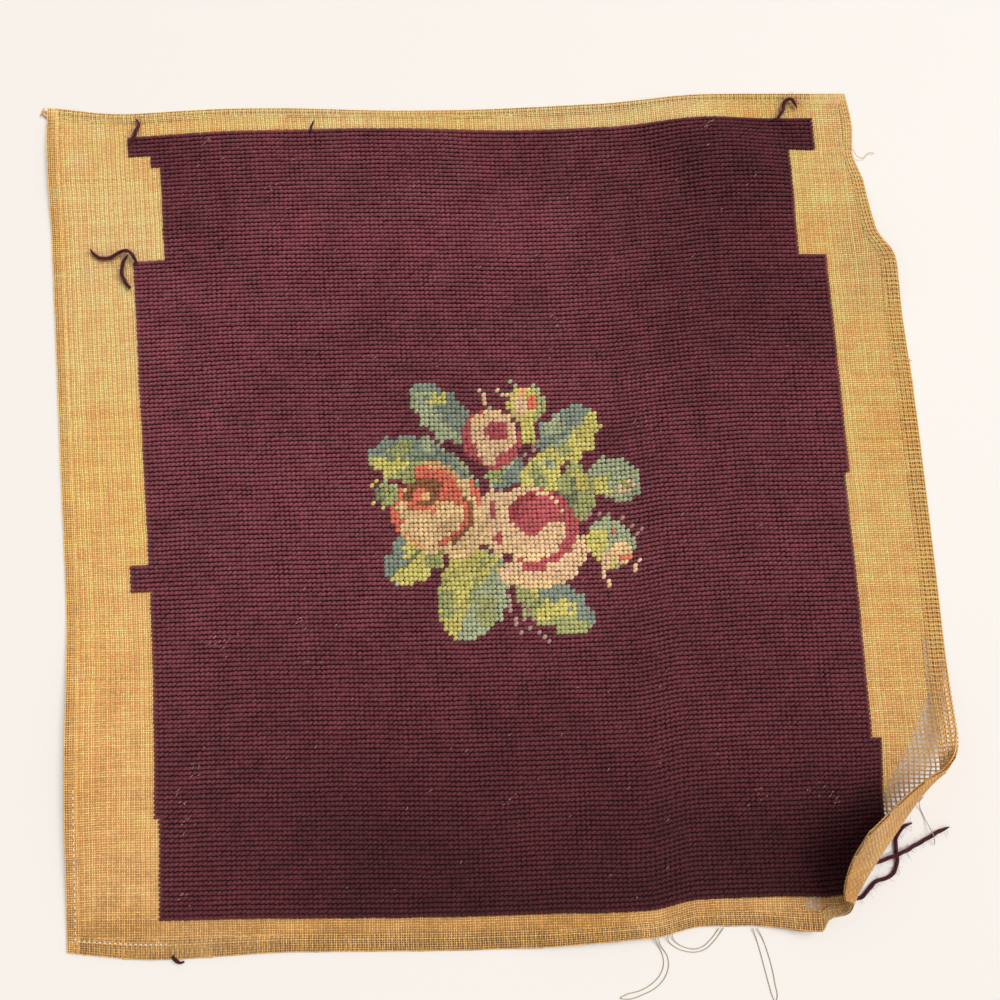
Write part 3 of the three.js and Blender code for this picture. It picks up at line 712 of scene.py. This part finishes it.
# Strength of the painted highlight and shade at the crossings of the hem threads.
HEM_RISE_SHADE = 0.5
HEM_ENDS = {"merged": 0.75, "tucked": 1.12, "turned": 1.1, "folded": 0.42}
PAIRS_PAST = {"merged": 1.1, "tucked": 0.5}
TURN_SHARE = 0.06


def hem_place(side, along, share):
    """Flat place in a hem, at a share of its width in from the outer edge."""
    inward = HEM[side] * share
    if side == "left":
        return flat_place(first_column + inward, along)
    if side == "right":
        return flat_place(last_column - inward, along)
    if side == "bottom":
        return flat_place(along, -MARGIN["bottom"] + inward)
    return flat_place(along, ROWS + MARGIN["top"] - inward)


def hem_threads(side):
    """The upper layer of one hem: threads along it and across it, turned down over its edge."""
    upright = side in ("left", "right")
    if upright:
        marks = np.arange(-MARGIN["bottom"], ROWS + MARGIN["top"]) + 0.5
        along_apart, across_apart = WARP_APART, HEM_WEFT_APART[side]
    else:
        marks = np.arange(first_column, last_column) + 0.5
        along_apart, across_apart = HEM_WEFT_APART[side], WARP_APART
    pairs = HEM_PAIRS[side]
    middles = (np.arange(pairs) + 0.5) / pairs
    merged, tucked = (1 + PAIRS_PAST[place] / pairs for place in ("merged", "tucked"))
    crossings = np.sort(np.concatenate([marks - across_apart, marks + across_apart]))
    parts = []
    for half in (-along_apart, along_apart):
        lines = np.append(middles, tucked) + half / HEM[side]
        share, along = np.meshgrid(lines, crossings, indexing="ij")
        rise = over_under(np.arange(pairs + 1)[:, None] + np.arange(len(crossings))[None])
        height = HEM_MIDDLE + HEM_SWING * rise
        height[-1] -= HEM_MIDDLE - HEM_ENDS["tucked"]
        parts.append((share, along, height, rise))
    nodes = np.concatenate([[merged, tucked], middles[::-1], [TURN_SHARE, 0.0]])
    along, share = np.meshgrid(crossings, nodes, indexing="ij")
    rise = over_under(np.arange(len(crossings))[:, None] + np.arange(len(nodes))[None])
    height = HEM_MIDDLE + HEM_SWING * rise
    height[:, :2] = HEM_ENDS["merged"], HEM_ENDS["tucked"]
    height[:, -2:] = HEM_ENDS["turned"], HEM_ENDS["folded"]
    parts.append((share, along, height, rise))
    darkening = HEM_DULL if upright else 1
    built = []
    for share, along, height, rise in parts:
        x, y = hem_place(side, along, share)
        shown = np.ones(x.shape, bool)
        built.append(coloured_threads(x, y, height, shown, HEM_RADIUS, HEM_RISE_SHADE * rise, darkening))
    return joined(built)


canvas_pieces.append(
    piece_from_arrays("canvas_hems", *joined([hem_threads(side) for side in HEM]), canvas_cotton)
)

SEAMS = [
    {"column": (-16.1, -16.1), "row": (-4.0, 27.0), "stitches": 24},
    {"column": (-15.6, 2.0), "row": (-4.1, -4.1), "stitches": 18},
]
SEAM_COLOUR = (252, 242, 222)
SEAM_HEIGHT = 2.05
SEAM_DIP = np.array([0.6, 0, 0, 0.6])
SEAM_STEP = 0.17
SEAM_RADIUS = 0.36


def plain_threads(name, line, up, radius, colour, material):
    """Piece of many threads of one colour."""
    points, triangles, _ = thread_tubes(line, up, np.ones(line.shape[:2], bool), radius)
    return piece_from_arrays(name, points, triangles, np.tile(linear(colour), (len(points), 1)), material)


seam_lines = []
for seam in SEAMS:
    steps = seam["stitches"] - 1
    start = np.linspace(0, 1, seam["stitches"])
    share = np.stack([start + k * SEAM_STEP / steps for k in range(len(SEAM_DIP))], -1)
    column, row = (seam[way][0] + (seam[way][1] - seam[way][0]) * share for way in ("column", "row"))
    x, y = flat_place(column, row)
    seam_lines.append(above(x, y, SEAM_HEIGHT - SEAM_DIP + np.zeros(x.shape)))
line, up = (np.concatenate(parts) for parts in zip(*seam_lines))
seam_stitches = plain_threads("hem_stitches", line, up, SEAM_RADIUS, SEAM_COLOUR, cotton)


# Worked field
# Wool tent stitch, one slanting stitch over each crossing of the canvas. The ground is maroon, and
# the posy in the middle is worked in peach, cream, coral, crimson and greens.
STITCH_FOOT = 1.22
STITCH_CROWN = 2.75
GROUND_STITCH = {"slant": 33, "long": 0.70, "wide": 0.42, "rope": 0.46}
POSY_STITCH = {"slant": 42, "long": 0.70, "wide": 0.47, "rope": 0.36}
POSY_PLACE = (78, 86)
WOOLS = {
    "maroon": (135, 75, 84),
    "peach": (255, 216, 163),
    "apricot": (250, 190, 133),
    "coral": (244, 131, 105),
    "brown": (164, 110, 78),
    "cream": (247, 207, 166),
    "crimson": (202, 99, 104),
    "rosewood": (186, 82, 86),
    "lime": (222, 209, 122),
    "fern": (180, 181, 122),
    "sage": (186, 191, 155),
    "teal": (150, 160, 145),
    "pine": (138, 144, 108),
    "mauve": (186, 146, 138),
}
WOOL_NAMES = list(WOOLS)
chart_column, chart_row = np.meshgrid(np.arange(-4, COLUMNS + 2), np.arange(ROWS), indexing="ij")
chart = np.zeros(chart_column.shape, int)
across_posy = chart_column - POSY_PLACE[0]
up_posy = chart_row - POSY_PLACE[1]
stitch_random = np.random.default_rng(23)
unevenness = stitch_random.uniform(-1, 1, chart.shape)


def work(where, wool_name):
    """Works the stitches of a region of the chart in one wool."""
    chart[where] = WOOL_NAMES.index(wool_name)


def oval(x, y, wide, high, turn=0.0):
    """Distance from an oval's middle, as a share of its size, and the angle round it."""
    c, s = cos(radians(turn)), sin(radians(turn))
    u = ((across_posy - x) * c + (up_posy - y) * s) / wide
    v = ((up_posy - y) * c - (across_posy - x) * s) / high
    return np.hypot(u, v), np.degrees(np.arctan2(v, u)) % 360


def arc(distance, angle, near, far, start, end):
    """Part of a ring between two distances, from one angle round to another."""
    turned = (angle - start) % 360
    return (distance > near) & (distance < far) & (turned < (end - start) % 360)


TOOTH = {"length": 4.4, "depth": 2.2, "inset": 0.65}
BLADE = {"fullness": 0.45, "waist": 0.8, "past": 0.02}
VEIN = {"half": 0.5, "from": 0.1, "to": 0.75, "skipped": -0.6}
PATCH_TURN = 20
PATCH_UNEVEN = 0.25


def leaf(base, tip, wide, left, right, vein, *light):
    """A broad toothed leaf from base to tip: two halves, lit patches and a broken vein."""
    base, tip = np.array(base, float), np.array(tip, float)
    axis = tip - base
    length = np.linalg.norm(axis)
    axis = axis / length
    along = ((across_posy - base[0]) * axis[0] + (up_posy - base[1]) * axis[1]) / length
    aside = (up_posy - base[1]) * axis[0] - (across_posy - base[0]) * axis[1]
    inside = np.clip(along, 0, 1)
    teeth = TOOTH["depth"] * np.abs(((inside * length / TOOTH["length"]) % 1) - 0.5) - TOOTH["inset"]
    edge = wide * np.sin(pi * inside ** BLADE["waist"]) ** BLADE["fullness"] + teeth
    blade = (along > -BLADE["past"]) & (along < 1 + BLADE["past"]) & (np.abs(aside) < edge)
    work(blade & (aside >= 0), left)
    work(blade & (aside < 0), right)
    for wool_name, x, y, across, high in light:
        distance, _ = oval(x, y, across, high, PATCH_TURN)
        work(blade & (distance < 1 + PATCH_UNEVEN * unevenness), wool_name)
    middle = (np.abs(aside) < VEIN["half"]) & (inside > VEIN["from"]) & (inside < VEIN["to"])
    work(blade & middle & (unevenness > VEIN["skipped"]), vein)


def petal(x, y, wide, high, turn, body, edge, start, end, rim=1.6):
    """One rounded petal, with its turned edge in another wool over part of its rim."""
    distance, angle = oval(x, y, wide, high, turn)
    work(distance < 1, body)
    work(arc(distance, angle, 1 - rim / min(wide, high), 1, start, end), edge)


def spot(wool_name, x, y, wide, high):
    """A small oval of one wool."""
    distance, _ = oval(x, y, wide, high)
    work(distance < 1, wool_name)


leaf((-7.5, 17), (-19, 29), 5.0, "sage", "teal", "teal",
     ("lime", -14, 25.5, 2.6, 1.4), ("sage", -17, 26, 2.4, 1.6))
leaf((-12, 11.5), (-29.5, 12.5), 5.6, "fern", "teal", "pine",
     ("lime", -25, 10.5, 4.4, 2.4), ("fern", -22, 14.5, 3.4, 1.8), ("sage", -15, 15, 2.2, 2.0))
leaf((-15, -5), (-27, -15), 5.4, "lime", "teal", "pine",
     ("fern", -17, -10, 2.2, 2.6), ("lime", -21, -9.5, 2.0, 3.0))
leaf((-5, -9), (-13, -28.5), 7.8, "sage", "lime", "fern",
     ("lime", -9, -13, 6.5, 3.6), ("fern", -6, -22, 2.4, 3.2), ("fern", -15, -20, 2.2, 3.6))
leaf((1, -16), (17, -26), 5.6, "teal", "fern", "lime",
     ("lime", 9, -22, 5.5, 1.8), ("teal", 14, -18, 3.0, 2.6), ("fern", 3, -17.5, 2.6, 2.0))
leaf((9.5, 12.5), (21, 23), 5.8, "teal", "lime", "sage",
     ("lime", 18, 16.5, 3.0, 3.4), ("sage", 12, 19.5, 2.6, 2.0), ("fern", 13, 14, 2.2, 1.8))
leaf((5, 3), (11.5, 14), 4.2, "lime", "lime", "pine",
     ("fern", 8, 8, 1.6, 2.6), ("sage", 10, 11, 1.6, 1.6))
leaf((15, -2), (15.5, 11), 4.4, "fern", "fern", "pine",
     ("lime", 16.5, 6.5, 2.0, 2.8), ("pine", 13, 1.5, 1.4, 2.4))
leaf((19.5, 10), (29.5, 3), 4.8, "sage", "sage", "fern",
     ("lime", 21, 5.5, 2.4, 2.6), ("cream", 26, 5, 2.4, 1.6))
leaf((-6, 6), (-15, 15), 1.9, "teal", "sage", "teal", ("teal", -12, 12, 1.6, 1.6))
leaf((-3, 6), (3.5, 13), 3.6, "sage", "teal", "sage", ("fern", -2, 8, 1.8, 1.6))

# The peach rose at the left: outer petals first, then the bowl and the brown and coral heart
petal(-22.0, 0.5, 3.2, 5.6, -8, "peach", "coral", 110, 250)
petal(-14.0, 7.5, 5.8, 3.4, -22, "coral", "apricot", 30, 150)
petal(-8.0, 1.5, 3.0, 6.6, 6, "peach", "coral", 300, 60)
petal(-10.5, -6.0, 5.4, 4.4, 24, "peach", "peach", 290, 40)
petal(-18.0, -5.0, 5.4, 4.0, -24, "peach", "apricot", 200, 280)
petal(-14.2, -0.5, 6.4, 6.6, 0, "peach", "coral", 262, 60, 1.7)
distance, angle = oval(-14.2, -0.5, 6.4, 6.6)
work(arc(distance, angle, 0.9, 1.06, 285, 50), "brown")
petal(-12.2, 5.4, 2.2, 3.8, 24, "coral", "coral", 0, 90)
petal(-17.6, 3.6, 4.6, 4.0, 10, "coral", "brown", 20, 190)
distance, angle = oval(-17.6, 3.6, 4.6, 4.0, 10)
work(arc(distance, angle, 0.3, 0.6, 200, 80), "brown")
work(distance < 0.26, "apricot")
work(arc(distance, angle, 0.7, 0.95, 240, 330), "apricot")

# The cream rose at the right: broad lower petals, a crimson shadow round its bowl, a crimson heart
petal(-2.4, -2.5, 3.8, 7.6, 6, "cream", "peach", 150, 240)
petal(6.0, -13.6, 8.4, 3.8, 4, "cream", "peach", 200, 300)
petal(12.6, -9.0, 4.4, 5.2, -24, "cream", "cream", 0, 90)
petal(6.2, -3.4, 9.0, 8.6, 0, "crimson", "crimson", 0, 90)
petal(4.4, -2.8, 8.4, 8.4, 0, "cream", "peach", 200, 300)
petal(6.4, -0.8, 5.8, 4.8, -14, "crimson", "rosewood", 100, 200, 1.2)
petal(9.2, -4.6, 3.4, 1.6, 24, "cream", "peach", 200, 300, 0.8)
spot("crimson", -3.0, 0.5, 0.9, 2.4)
spot("crimson", -2.2, -6.0, 0.9, 1.6)
spot("crimson", 5.0, -12.6, 2.6, 1.0)

# The small rose at the top, half open over its green sepals
petal(-2.2, 16.6, 6.5, 6.8, 0, "crimson", "crimson", 0, 90)
petal(-1.6, 18.2, 5.2, 5.4, 0, "cream", "peach", 60, 170)
petal(-3.2, 13.2, 2.0, 3.0, 24, "cream", "cream", 0, 90)
petal(-0.8, 18.6, 2.5, 2.4, 0, "crimson", "rosewood", 200, 340, 0.8)

# Buds: one at the top right with its stem, one at the right and a small one at the left
BUD_STEM = {"middle": 6, "half": 1.2, "from": 15, "to": 20}
petal(6.0, 24.4, 4.2, 4.6, 8, "lime", "fern", 280, 40)
spot("cream", 4.8, 24.0, 1.6, 2.6)
spot("coral", 7.6, 25.0, 0.9, 1.8)
spot("apricot", 5.8, 27.4, 1.2, 1.2)
stem_rows = (up_posy > BUD_STEM["from"]) & (up_posy < BUD_STEM["to"])
work(stem_rows & (np.abs(across_posy - BUD_STEM["middle"]) < BUD_STEM["half"]), "lime")
petal(22.0, -7.5, 5.2, 5.6, 12, "sage", "lime", 130, 260)
spot("lime", 19.6, -6.6, 2.2, 2.6)
spot("peach", 23.6, -10.0, 2.8, 2.4)
spot("coral", 25.0, -11.0, 1.3, 0.9)
spot("coral", 23.0, -5.0, 1.0, 0.8)
spot("cream", 20.4, -11.4, 1.4, 1.8)
petal(-26.0, 4.0, 2.6, 2.6, -20, "fern", "pine", 140, 260)

# Single stitches: hair-like sepals round the buds, and the mauve stems below
SPRIGS = {
    "mauve": [
        (-1, -19), (-1, -21), (-1, -22), (0, -24), (0, -25), (1, -27), (2, -21), (3, -22), (2, -24),
        (4, -24), (3, -26), (5, -27), (6, -28), (7, -29), (8, 16), (7, 15), (7, 14), (5, 13), (6, 12),
        (4, 12), (17, -2), (18, -1), (20, -1), (22, -1), (25, -2), (27, -4), (29, -5), (28, -6),
    ],
    "cream": [
        (-4, 28), (-3, 27), (-3, 26), (-3, 25), (0, 28), (1, 27), (2, 27),
        (20, -14), (20, -15), (21, -16), (21, -17), (27, -13), (27, -14), (28, -12),
    ],
    "sage": [
        (3, 30), (4, 29), (9, 28), (10, 26), (8, 29), (-2, 24),
        (-26, 7), (-24, 6), (-25, -16), (-13, 16), (-14, 17),
    ],
    "lime": [(-29, 6), (-28, 7), (-29, 2), (-27, 1), (-24, 1)],
}
for wool_name, places in SPRIGS.items():
    for column, row in places:
        work((across_posy == column) & (up_posy == row), wool_name)

RIM = np.array(
    [(1, 0), (0.62, 0.8), (0, 1), (-0.62, 0.8), (-1, 0), (-0.62, -0.8), (0, -1), (0.62, -0.8)]
)
RIDGE = np.array([(0.5, 0), (0, 0), (-0.5, 0)])
RIDGE_HEIGHT = np.array([0.88, 1, 0.88])
STITCH_TRIANGLES = np.array(
    [
        (0, 1, 8), (1, 2, 8), (2, 9, 8), (2, 3, 10), (2, 10, 9), (3, 4, 10),
        (4, 5, 10), (5, 6, 10), (6, 9, 10), (6, 7, 8), (6, 8, 9), (7, 0, 8),
    ]
)
WOOL_SHADES = linear(np.array(list(WOOLS.values())))
# Painted light on the maroon ground: darkest at the foot, brightest across the middle, a little dimmer at
# the top.
GROUND_LIGHT_LEVELS = [(-224, 0.36), (-180, 0.46), (-105, 0.72), (-20, 1.04), (120, 1.04), (226, 0.92)]
# Hue of the painted light and shade: shaded wool deeper in colour, the posy's lit crowns paler.
GROUND_LIGHT_TINT = np.array([1.0, 1.3, 1.25])
SHADOW_TINT = np.array([0.74, 1.75, 1.65])
POSY_SHADOW_TINT = np.array([1.0, 1.08, 1.4])


# Painted light and shade on parts of the ground: darker at the right, the top corners and beside the rolled
# corner, lighter at the lower left.
GROUND_SHADES = [
    {"x": (40, 130), "y": (-120, -60), "change": -0.16},
    {"x": (60, 210), "y": (40, 200), "change": -0.4},
    {"x": (-50, -160), "y": (-60, -180), "change": 0.5},
    {"x": (120, 190), "y": (-130, -190), "change": -0.35},
    {"x": (-130, -190), "y": (120, 200), "change": -0.24},
]
STITCH_UNEVEN = {
    "slant": 7, "long": 0.07, "wide": 0.09, "crown": 0.06, "shade": 0.12, "across": 0.06, "up": 0.05,
}
DRIFT_ACROSS = {"size": 11, "spread": 0.16, "seed": 8}
DRIFT_UP = {"size": 17, "spread": 0.12, "seed": 9}
FADE_BROAD = {"size": 48, "spread": 0.15, "seed": 6}
FADE_FINE = {"size": 9, "spread": 0.14, "seed": 7}
# Painted shade in the troughs between rows of the ground and round every stitch's rim.
TROUGH_SHADE = {"from": 0.28, "over": 0.22, "darker": 0.52}
RIM_SHADE = 0.36
ROPE_HALF = 0.5


def ground_light(x, y):
    """Painted light on the maroon ground: darkest at the foot, and changed towards sides and corners."""
    tone = read(GROUND_LIGHT_LEVELS, y)
    for shade in GROUND_SHADES:
        (x_from, x_to), (y_from, y_to) = shade["x"], shade["y"]
        across = np.clip((x - x_from) / (x_to - x_from), 0, 1)
        up = np.clip((y - y_from) / (y_to - y_from), 0, 1)
        tone = tone * (1 + shade["change"] * across * up)
    return tone


def stitches(take):
    """Points, triangles and colours of the chosen stitches, each a plump slanting loop of yarn, with
    painted shade at rims and troughs.
    """
    column, row = chart_column[take], chart_row[take]
    count = len(column)
    corners = []
    for side, up in ((0, 0), (1, 0), (0, 1), (1, 1)):
        x, y = flat_place(column + side, row + up)
        corners.append(above(x, y, np.full(count, STITCH_FOOT))[0])
    low_left, low_right, high_left, high_right = corners
    middle = (low_left + low_right + high_left + high_right) / 4
    across = (low_right - low_left + high_right - high_left) / 2
    up = (high_left - low_left + high_right - low_right) / 2
    normal = unit(np.cross(across, up))
    posy = chart[take] > 0
    draws = stitch_random.uniform(-1, 1, (len(STITCH_UNEVEN), count))
    uneven = {k: amount * draw for (k, amount), draw in zip(STITCH_UNEVEN.items(), draws)}
    kind = {k: np.where(posy, POSY_STITCH[k], GROUND_STITCH[k]) for k in GROUND_STITCH}
    slant = np.radians(kind["slant"] + uneven["slant"])[:, None]
    long = kind["long"] * (1 + uneven["long"])
    wide = kind["wide"] * (1 + uneven["wide"])
    x, y = flat_place(column + 0.5, row + 0.5)
    aside = mottle(DRIFT_ACROSS, x, y) + uneven["across"]
    lift = mottle(DRIFT_UP, x, y) + uneven["up"]
    middle = middle + aside[:, None] * across + lift[:, None] * up
    outline = np.concatenate([RIM, RIDGE])
    lengthwise, sideways = outline[:, 0] * long[:, None], outline[:, 1] * wide[:, None]
    u = lengthwise * np.cos(slant) - sideways * np.sin(slant)
    v = lengthwise * np.sin(slant) + sideways * np.cos(slant)
    profile = np.concatenate([np.zeros(len(RIM)), RIDGE_HEIGHT])[None, :]
    rope = kind["rope"][:, None] * np.maximum(0, 1 - (v / ROPE_HALF) ** 2)
    crown = (STITCH_CROWN - STITCH_FOOT) * (1 + uneven["crown"])
    height = np.maximum(profile, rope) * crown[:, None]
    points = (
        middle[:, None, :]
        + u[:, :, None] * across[:, None, :]
        + v[:, :, None] * up[:, None, :]
        + height[:, :, None] * normal[:, None, :]
    )
    triangles = STITCH_TRIANGLES[None] + (np.arange(count) * len(outline))[:, None, None]
    fade = 1 + mottle(FADE_BROAD, x, y) + mottle(FADE_FINE, x, y) + uneven["shade"]
    # Painted light and shade over the ground, not over the posy.
    tone = np.where(posy, 1, ground_light(x, y))
    # Painted shade: darker in the troughs between rows of the ground and at every stitch's rim.
    trough = np.clip((np.abs(v) - TROUGH_SHADE["from"]) / TROUGH_SHADE["over"], 0, 1)
    painted_shade = np.where(posy[:, None], 1, 1 - TROUGH_SHADE["darker"] * trough) * (1 - RIM_SHADE * (profile == 0))
    tint = np.where(posy[:, None], POSY_SHADOW_TINT, SHADOW_TINT)[:, None, :]
    colour = WOOL_SHADES[chart[take]][:, None, :] * np.ones((1, len(outline), 1))
    colour[:, :, :3] *= painted_shade[:, :, None] ** tint
    colour[:, :, :3] *= (fade[:, None] * tone[:, None] ** GROUND_LIGHT_TINT)[:, None, :]
    return points.reshape(-1, 3), triangles.reshape(-1, 3), colour.reshape(-1, 4)


in_field = is_worked(chart_column, chart_row)
middle_row = ROWS // 2
FIELD_TAKES = {
    "wool_ground_lower": in_field & (chart == 0) & (chart_row < middle_row),
    "wool_ground_upper": in_field & (chart == 0) & (chart_row >= middle_row),
    "wool_posy": in_field & (chart > 0),
}
field_pieces = [piece_from_arrays(name, *stitches(take), wool) for name, take in FIELD_TAKES.items()]
for piece in field_pieces:
    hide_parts("wool_field")


# Lint and loose ends
# Pale lint caught in the wool, hairs that stand off the yarn ends, two short wool tails, and canvas
# fibres frayed from the corners and the edge.
LINT_PLACES = [
    (-149, -146), (-158, -162), (-155, -174), (-135, -78), (-143, -80), (46, 103), (132, 219), (17, -162),
    (151, -157), (-121, 185), (-158, 212), (-154, -213), (91, 45), (-97, -67), (182, -156), (190, -161),
]
LINT_COLOUR = (236, 196, 172)
LINT_PER_PLACE = 5
LINT_SPREAD = 2.6
LINT_SCATTER = 120
LINT_COLUMNS, LINT_ROWS = (4, 144), (3, 174)
LINT_HEADING = {"middle": 0.75, "spread": 0.2}
LINT_REACH = (0.35, 1.1)
LINT_BOW = 0.1
LINT_ARCH = 0.1
LINT_HEIGHT = 2.85
LINT_RADIUS = 0.11
fluff_random = np.random.default_rng(41)
lint = np.repeat(np.array(LINT_PLACES), LINT_PER_PLACE, axis=0)
lint = lint + fluff_random.normal(0, LINT_SPREAD, lint.shape)
scattered_column = fluff_random.uniform(*LINT_COLUMNS, LINT_SCATTER)
scattered_row = fluff_random.uniform(*LINT_ROWS, LINT_SCATTER)
lint = np.concatenate([lint, np.stack(flat_place(scattered_column, scattered_row), -1)])
heading = fluff_random.normal(LINT_HEADING["middle"], LINT_HEADING["spread"], len(lint))[:, None]
reach = fluff_random.uniform(*LINT_REACH, len(lint))[:, None]
bow = fluff_random.normal(0, LINT_BOW, len(lint))[:, None]
marks = np.linspace(-1, 1, 4)
arch = 1 - marks**2
x = lint[:, :1] + reach * np.cos(heading) * marks - bow * np.sin(heading) * arch
y = lint[:, 1:] + reach * np.sin(heading) * marks + bow * np.cos(heading) * arch
line, up = above(x, y, LINT_HEIGHT + LINT_ARCH * arch + np.zeros(x.shape))
lint_piece = plain_threads("lint", line, up, LINT_RADIUS, LINT_COLOUR, cotton)

HAIR_COLOUR = (150, 70, 92)
HAIRS_PER_YARN = 130
HAIR_RADIUS = 0.05
HAIR_RISE = (-0.1, 0.5)
HAIR_CURL = 0.5
HAIR_LENGTH = (1.2, 4.6)
HAIR_LOWEST = 0.2
hair_lines = []
for route in YARN_ROUTES.values():
    yarn_line = smooth_route(route, ROUTE_STEP)
    pick = fluff_random.integers(0, len(yarn_line), HAIRS_PER_YARN)
    turn = fluff_random.uniform(0, tau, HAIRS_PER_YARN)
    rise = fluff_random.uniform(*HAIR_RISE, HAIRS_PER_YARN)
    curl = fluff_random.normal(0, HAIR_CURL, (HAIRS_PER_YARN, 1))
    far = fluff_random.uniform(*HAIR_LENGTH, HAIRS_PER_YARN)[:, None, None]
    away = np.stack([np.cos(turn), np.sin(turn), rise], -1)
    aside = np.stack([-np.sin(turn), np.cos(turn), np.zeros(HAIRS_PER_YARN)], -1) * curl
    share = np.linspace(0, 1, 4)[None, :, None]
    hairs = yarn_line[pick][:, None] + far * (away[:, None] * share + aside[:, None] * share**2)
    hairs[..., 2] = np.maximum(hairs[..., 2], HAIR_LOWEST)
    hair_lines.append(hairs)
line = np.concatenate(hair_lines)
up = np.broadcast_to([0.0, 0.0, 1.0], line.shape)
hair_piece = plain_threads("yarn_hairs", line, up, HAIR_RADIUS, HAIR_COLOUR, wool)

LOOSE_ENDS = [
    {"name": "wool_tail_top", "kind": "wool", "wide": 1.5,
     "route": [(-98.6, 216.6, 3.4), (-98.3, 219.4, 3.6), (-97.4, 222.0, 3.4), (-96.7, 223.9, 2.9)]},
    {"name": "wool_knot_bottom", "kind": "wool", "wide": 2.6,
     "route": [(-159.0, -241.0, 2.2), (-157.2, -243.2, 1.7), (-155.2, -244.6, 1.5), (-152.8, -244.0, 1.5)]},
    {"name": "canvas_nub", "kind": "canvas", "wide": 1.6,
     "route": [(-253.4, 226.0, 1.4), (-255.6, 228.0, 1.4), (-257.0, 230.4, 1.3), (-256.2, 232.6, 1.2)]},
    {"name": "canvas_nub_end", "kind": "canvas", "wide": 1.2,
     "route": [(-252.6, 229.6, 1.3), (-255.0, 230.2, 1.5), (-257.4, 229.2, 1.2), (-258.6, 227.6, 1.0)]},
    {"name": "fray_right_upper", "kind": "canvas", "wide": 0.4,
     "route": [
         (218.0, 206.3, 2.4), (221.3, 201.3, 2.0), (224.8, 201.3, 1.6), (227.3, 204.4, 1.2),
         (231.4, 204.4, 0.8),
     ]},
    {"name": "fray_right_middle", "kind": "canvas", "wide": 0.35,
     "route": [(241.0, 81.0, 2.2), (243.2, 80.6, 1.8), (245.0, 79.6, 1.2), (246.6, 79.9, 0.8)]},
    {"name": "fray_right_lower", "kind": "canvas", "wide": 0.8,
     "route": [(249.8, -98.4, 2.8), (251.6, -100.8, 3.4), (251.2, -104.0, 3.4), (252.6, -107.4, 2.8)]},
]
LOOSE_STEP = 0.3
LOOSE_SIDES = 8
LOOSE_TIPS = (0.8, 0.4)
TWIST_PER_WIDTH = 3.2
LOOSE_KINDS = {"wool": (YARN_PLIES, YARN_COLOUR, wool), "canvas": (2, CANVAS_COLOUR, canvas_cotton)}
for end in LOOSE_ENDS:
    plies, colour, material = LOOSE_KINDS[end["kind"]]
    line = smooth_route(end["route"], LOOSE_STEP)
    twist = TWIST_PER_WIDTH * end["wide"]
    loose = strand_piece(
        end["name"], line, end["wide"], plies, twist, LOOSE_SIDES, LOOSE_TIPS, colour, material
    )


# Table
# A plain, nearly white painted table top. The panel lies loose on it, and it is part of the stage,
# not of the object.
TABLE_SIZE = 40
TABLE_COLOUR = (246, 240, 233)
TABLE_ROUGHNESS = 0.6
bpy.ops.object.select_all(action="DESELECT")
bpy.ops.mesh.primitive_plane_add(size=TABLE_SIZE)
table = bpy.context.object
table.name = "table"
table_paint = bpy.data.materials.new("table_paint")
table_paint.use_nodes = True
table_shader = table_paint.node_tree.nodes["Principled BSDF"]
set_inputs(table_shader, {"Base Color": linear(TABLE_COLOUR), "Roughness": TABLE_ROUGHNESS})
table.data.materials.append(table_paint)


# Light
# Soft daylight: a wide, bright patch of sky at the upper right throws soft shadows to the lower left,
# and an even white sky all round fills them.
SUN_PLACE = (0.8, 0.5, 1.5)
SUN_TURN = (radians(-17), radians(28), 0)
SUN_STRENGTH = 2.25
SUN_SPREAD = radians(40)
bpy.ops.object.light_add(type="SUN", location=SUN_PLACE, rotation=SUN_TURN)
sun = bpy.context.object
sun.name = "daylight"
sun.data.energy = SUN_STRENGTH
sun.data.angle = SUN_SPREAD
SKY_LIGHT = 0.42
sky = bpy.data.worlds.new("sky")
sky.use_nodes = True
set_inputs(sky.node_tree.nodes["Background"], {"Color": (1, 1, 1, 1), "Strength": SKY_LIGHT})
bpy.context.scene.world = sky
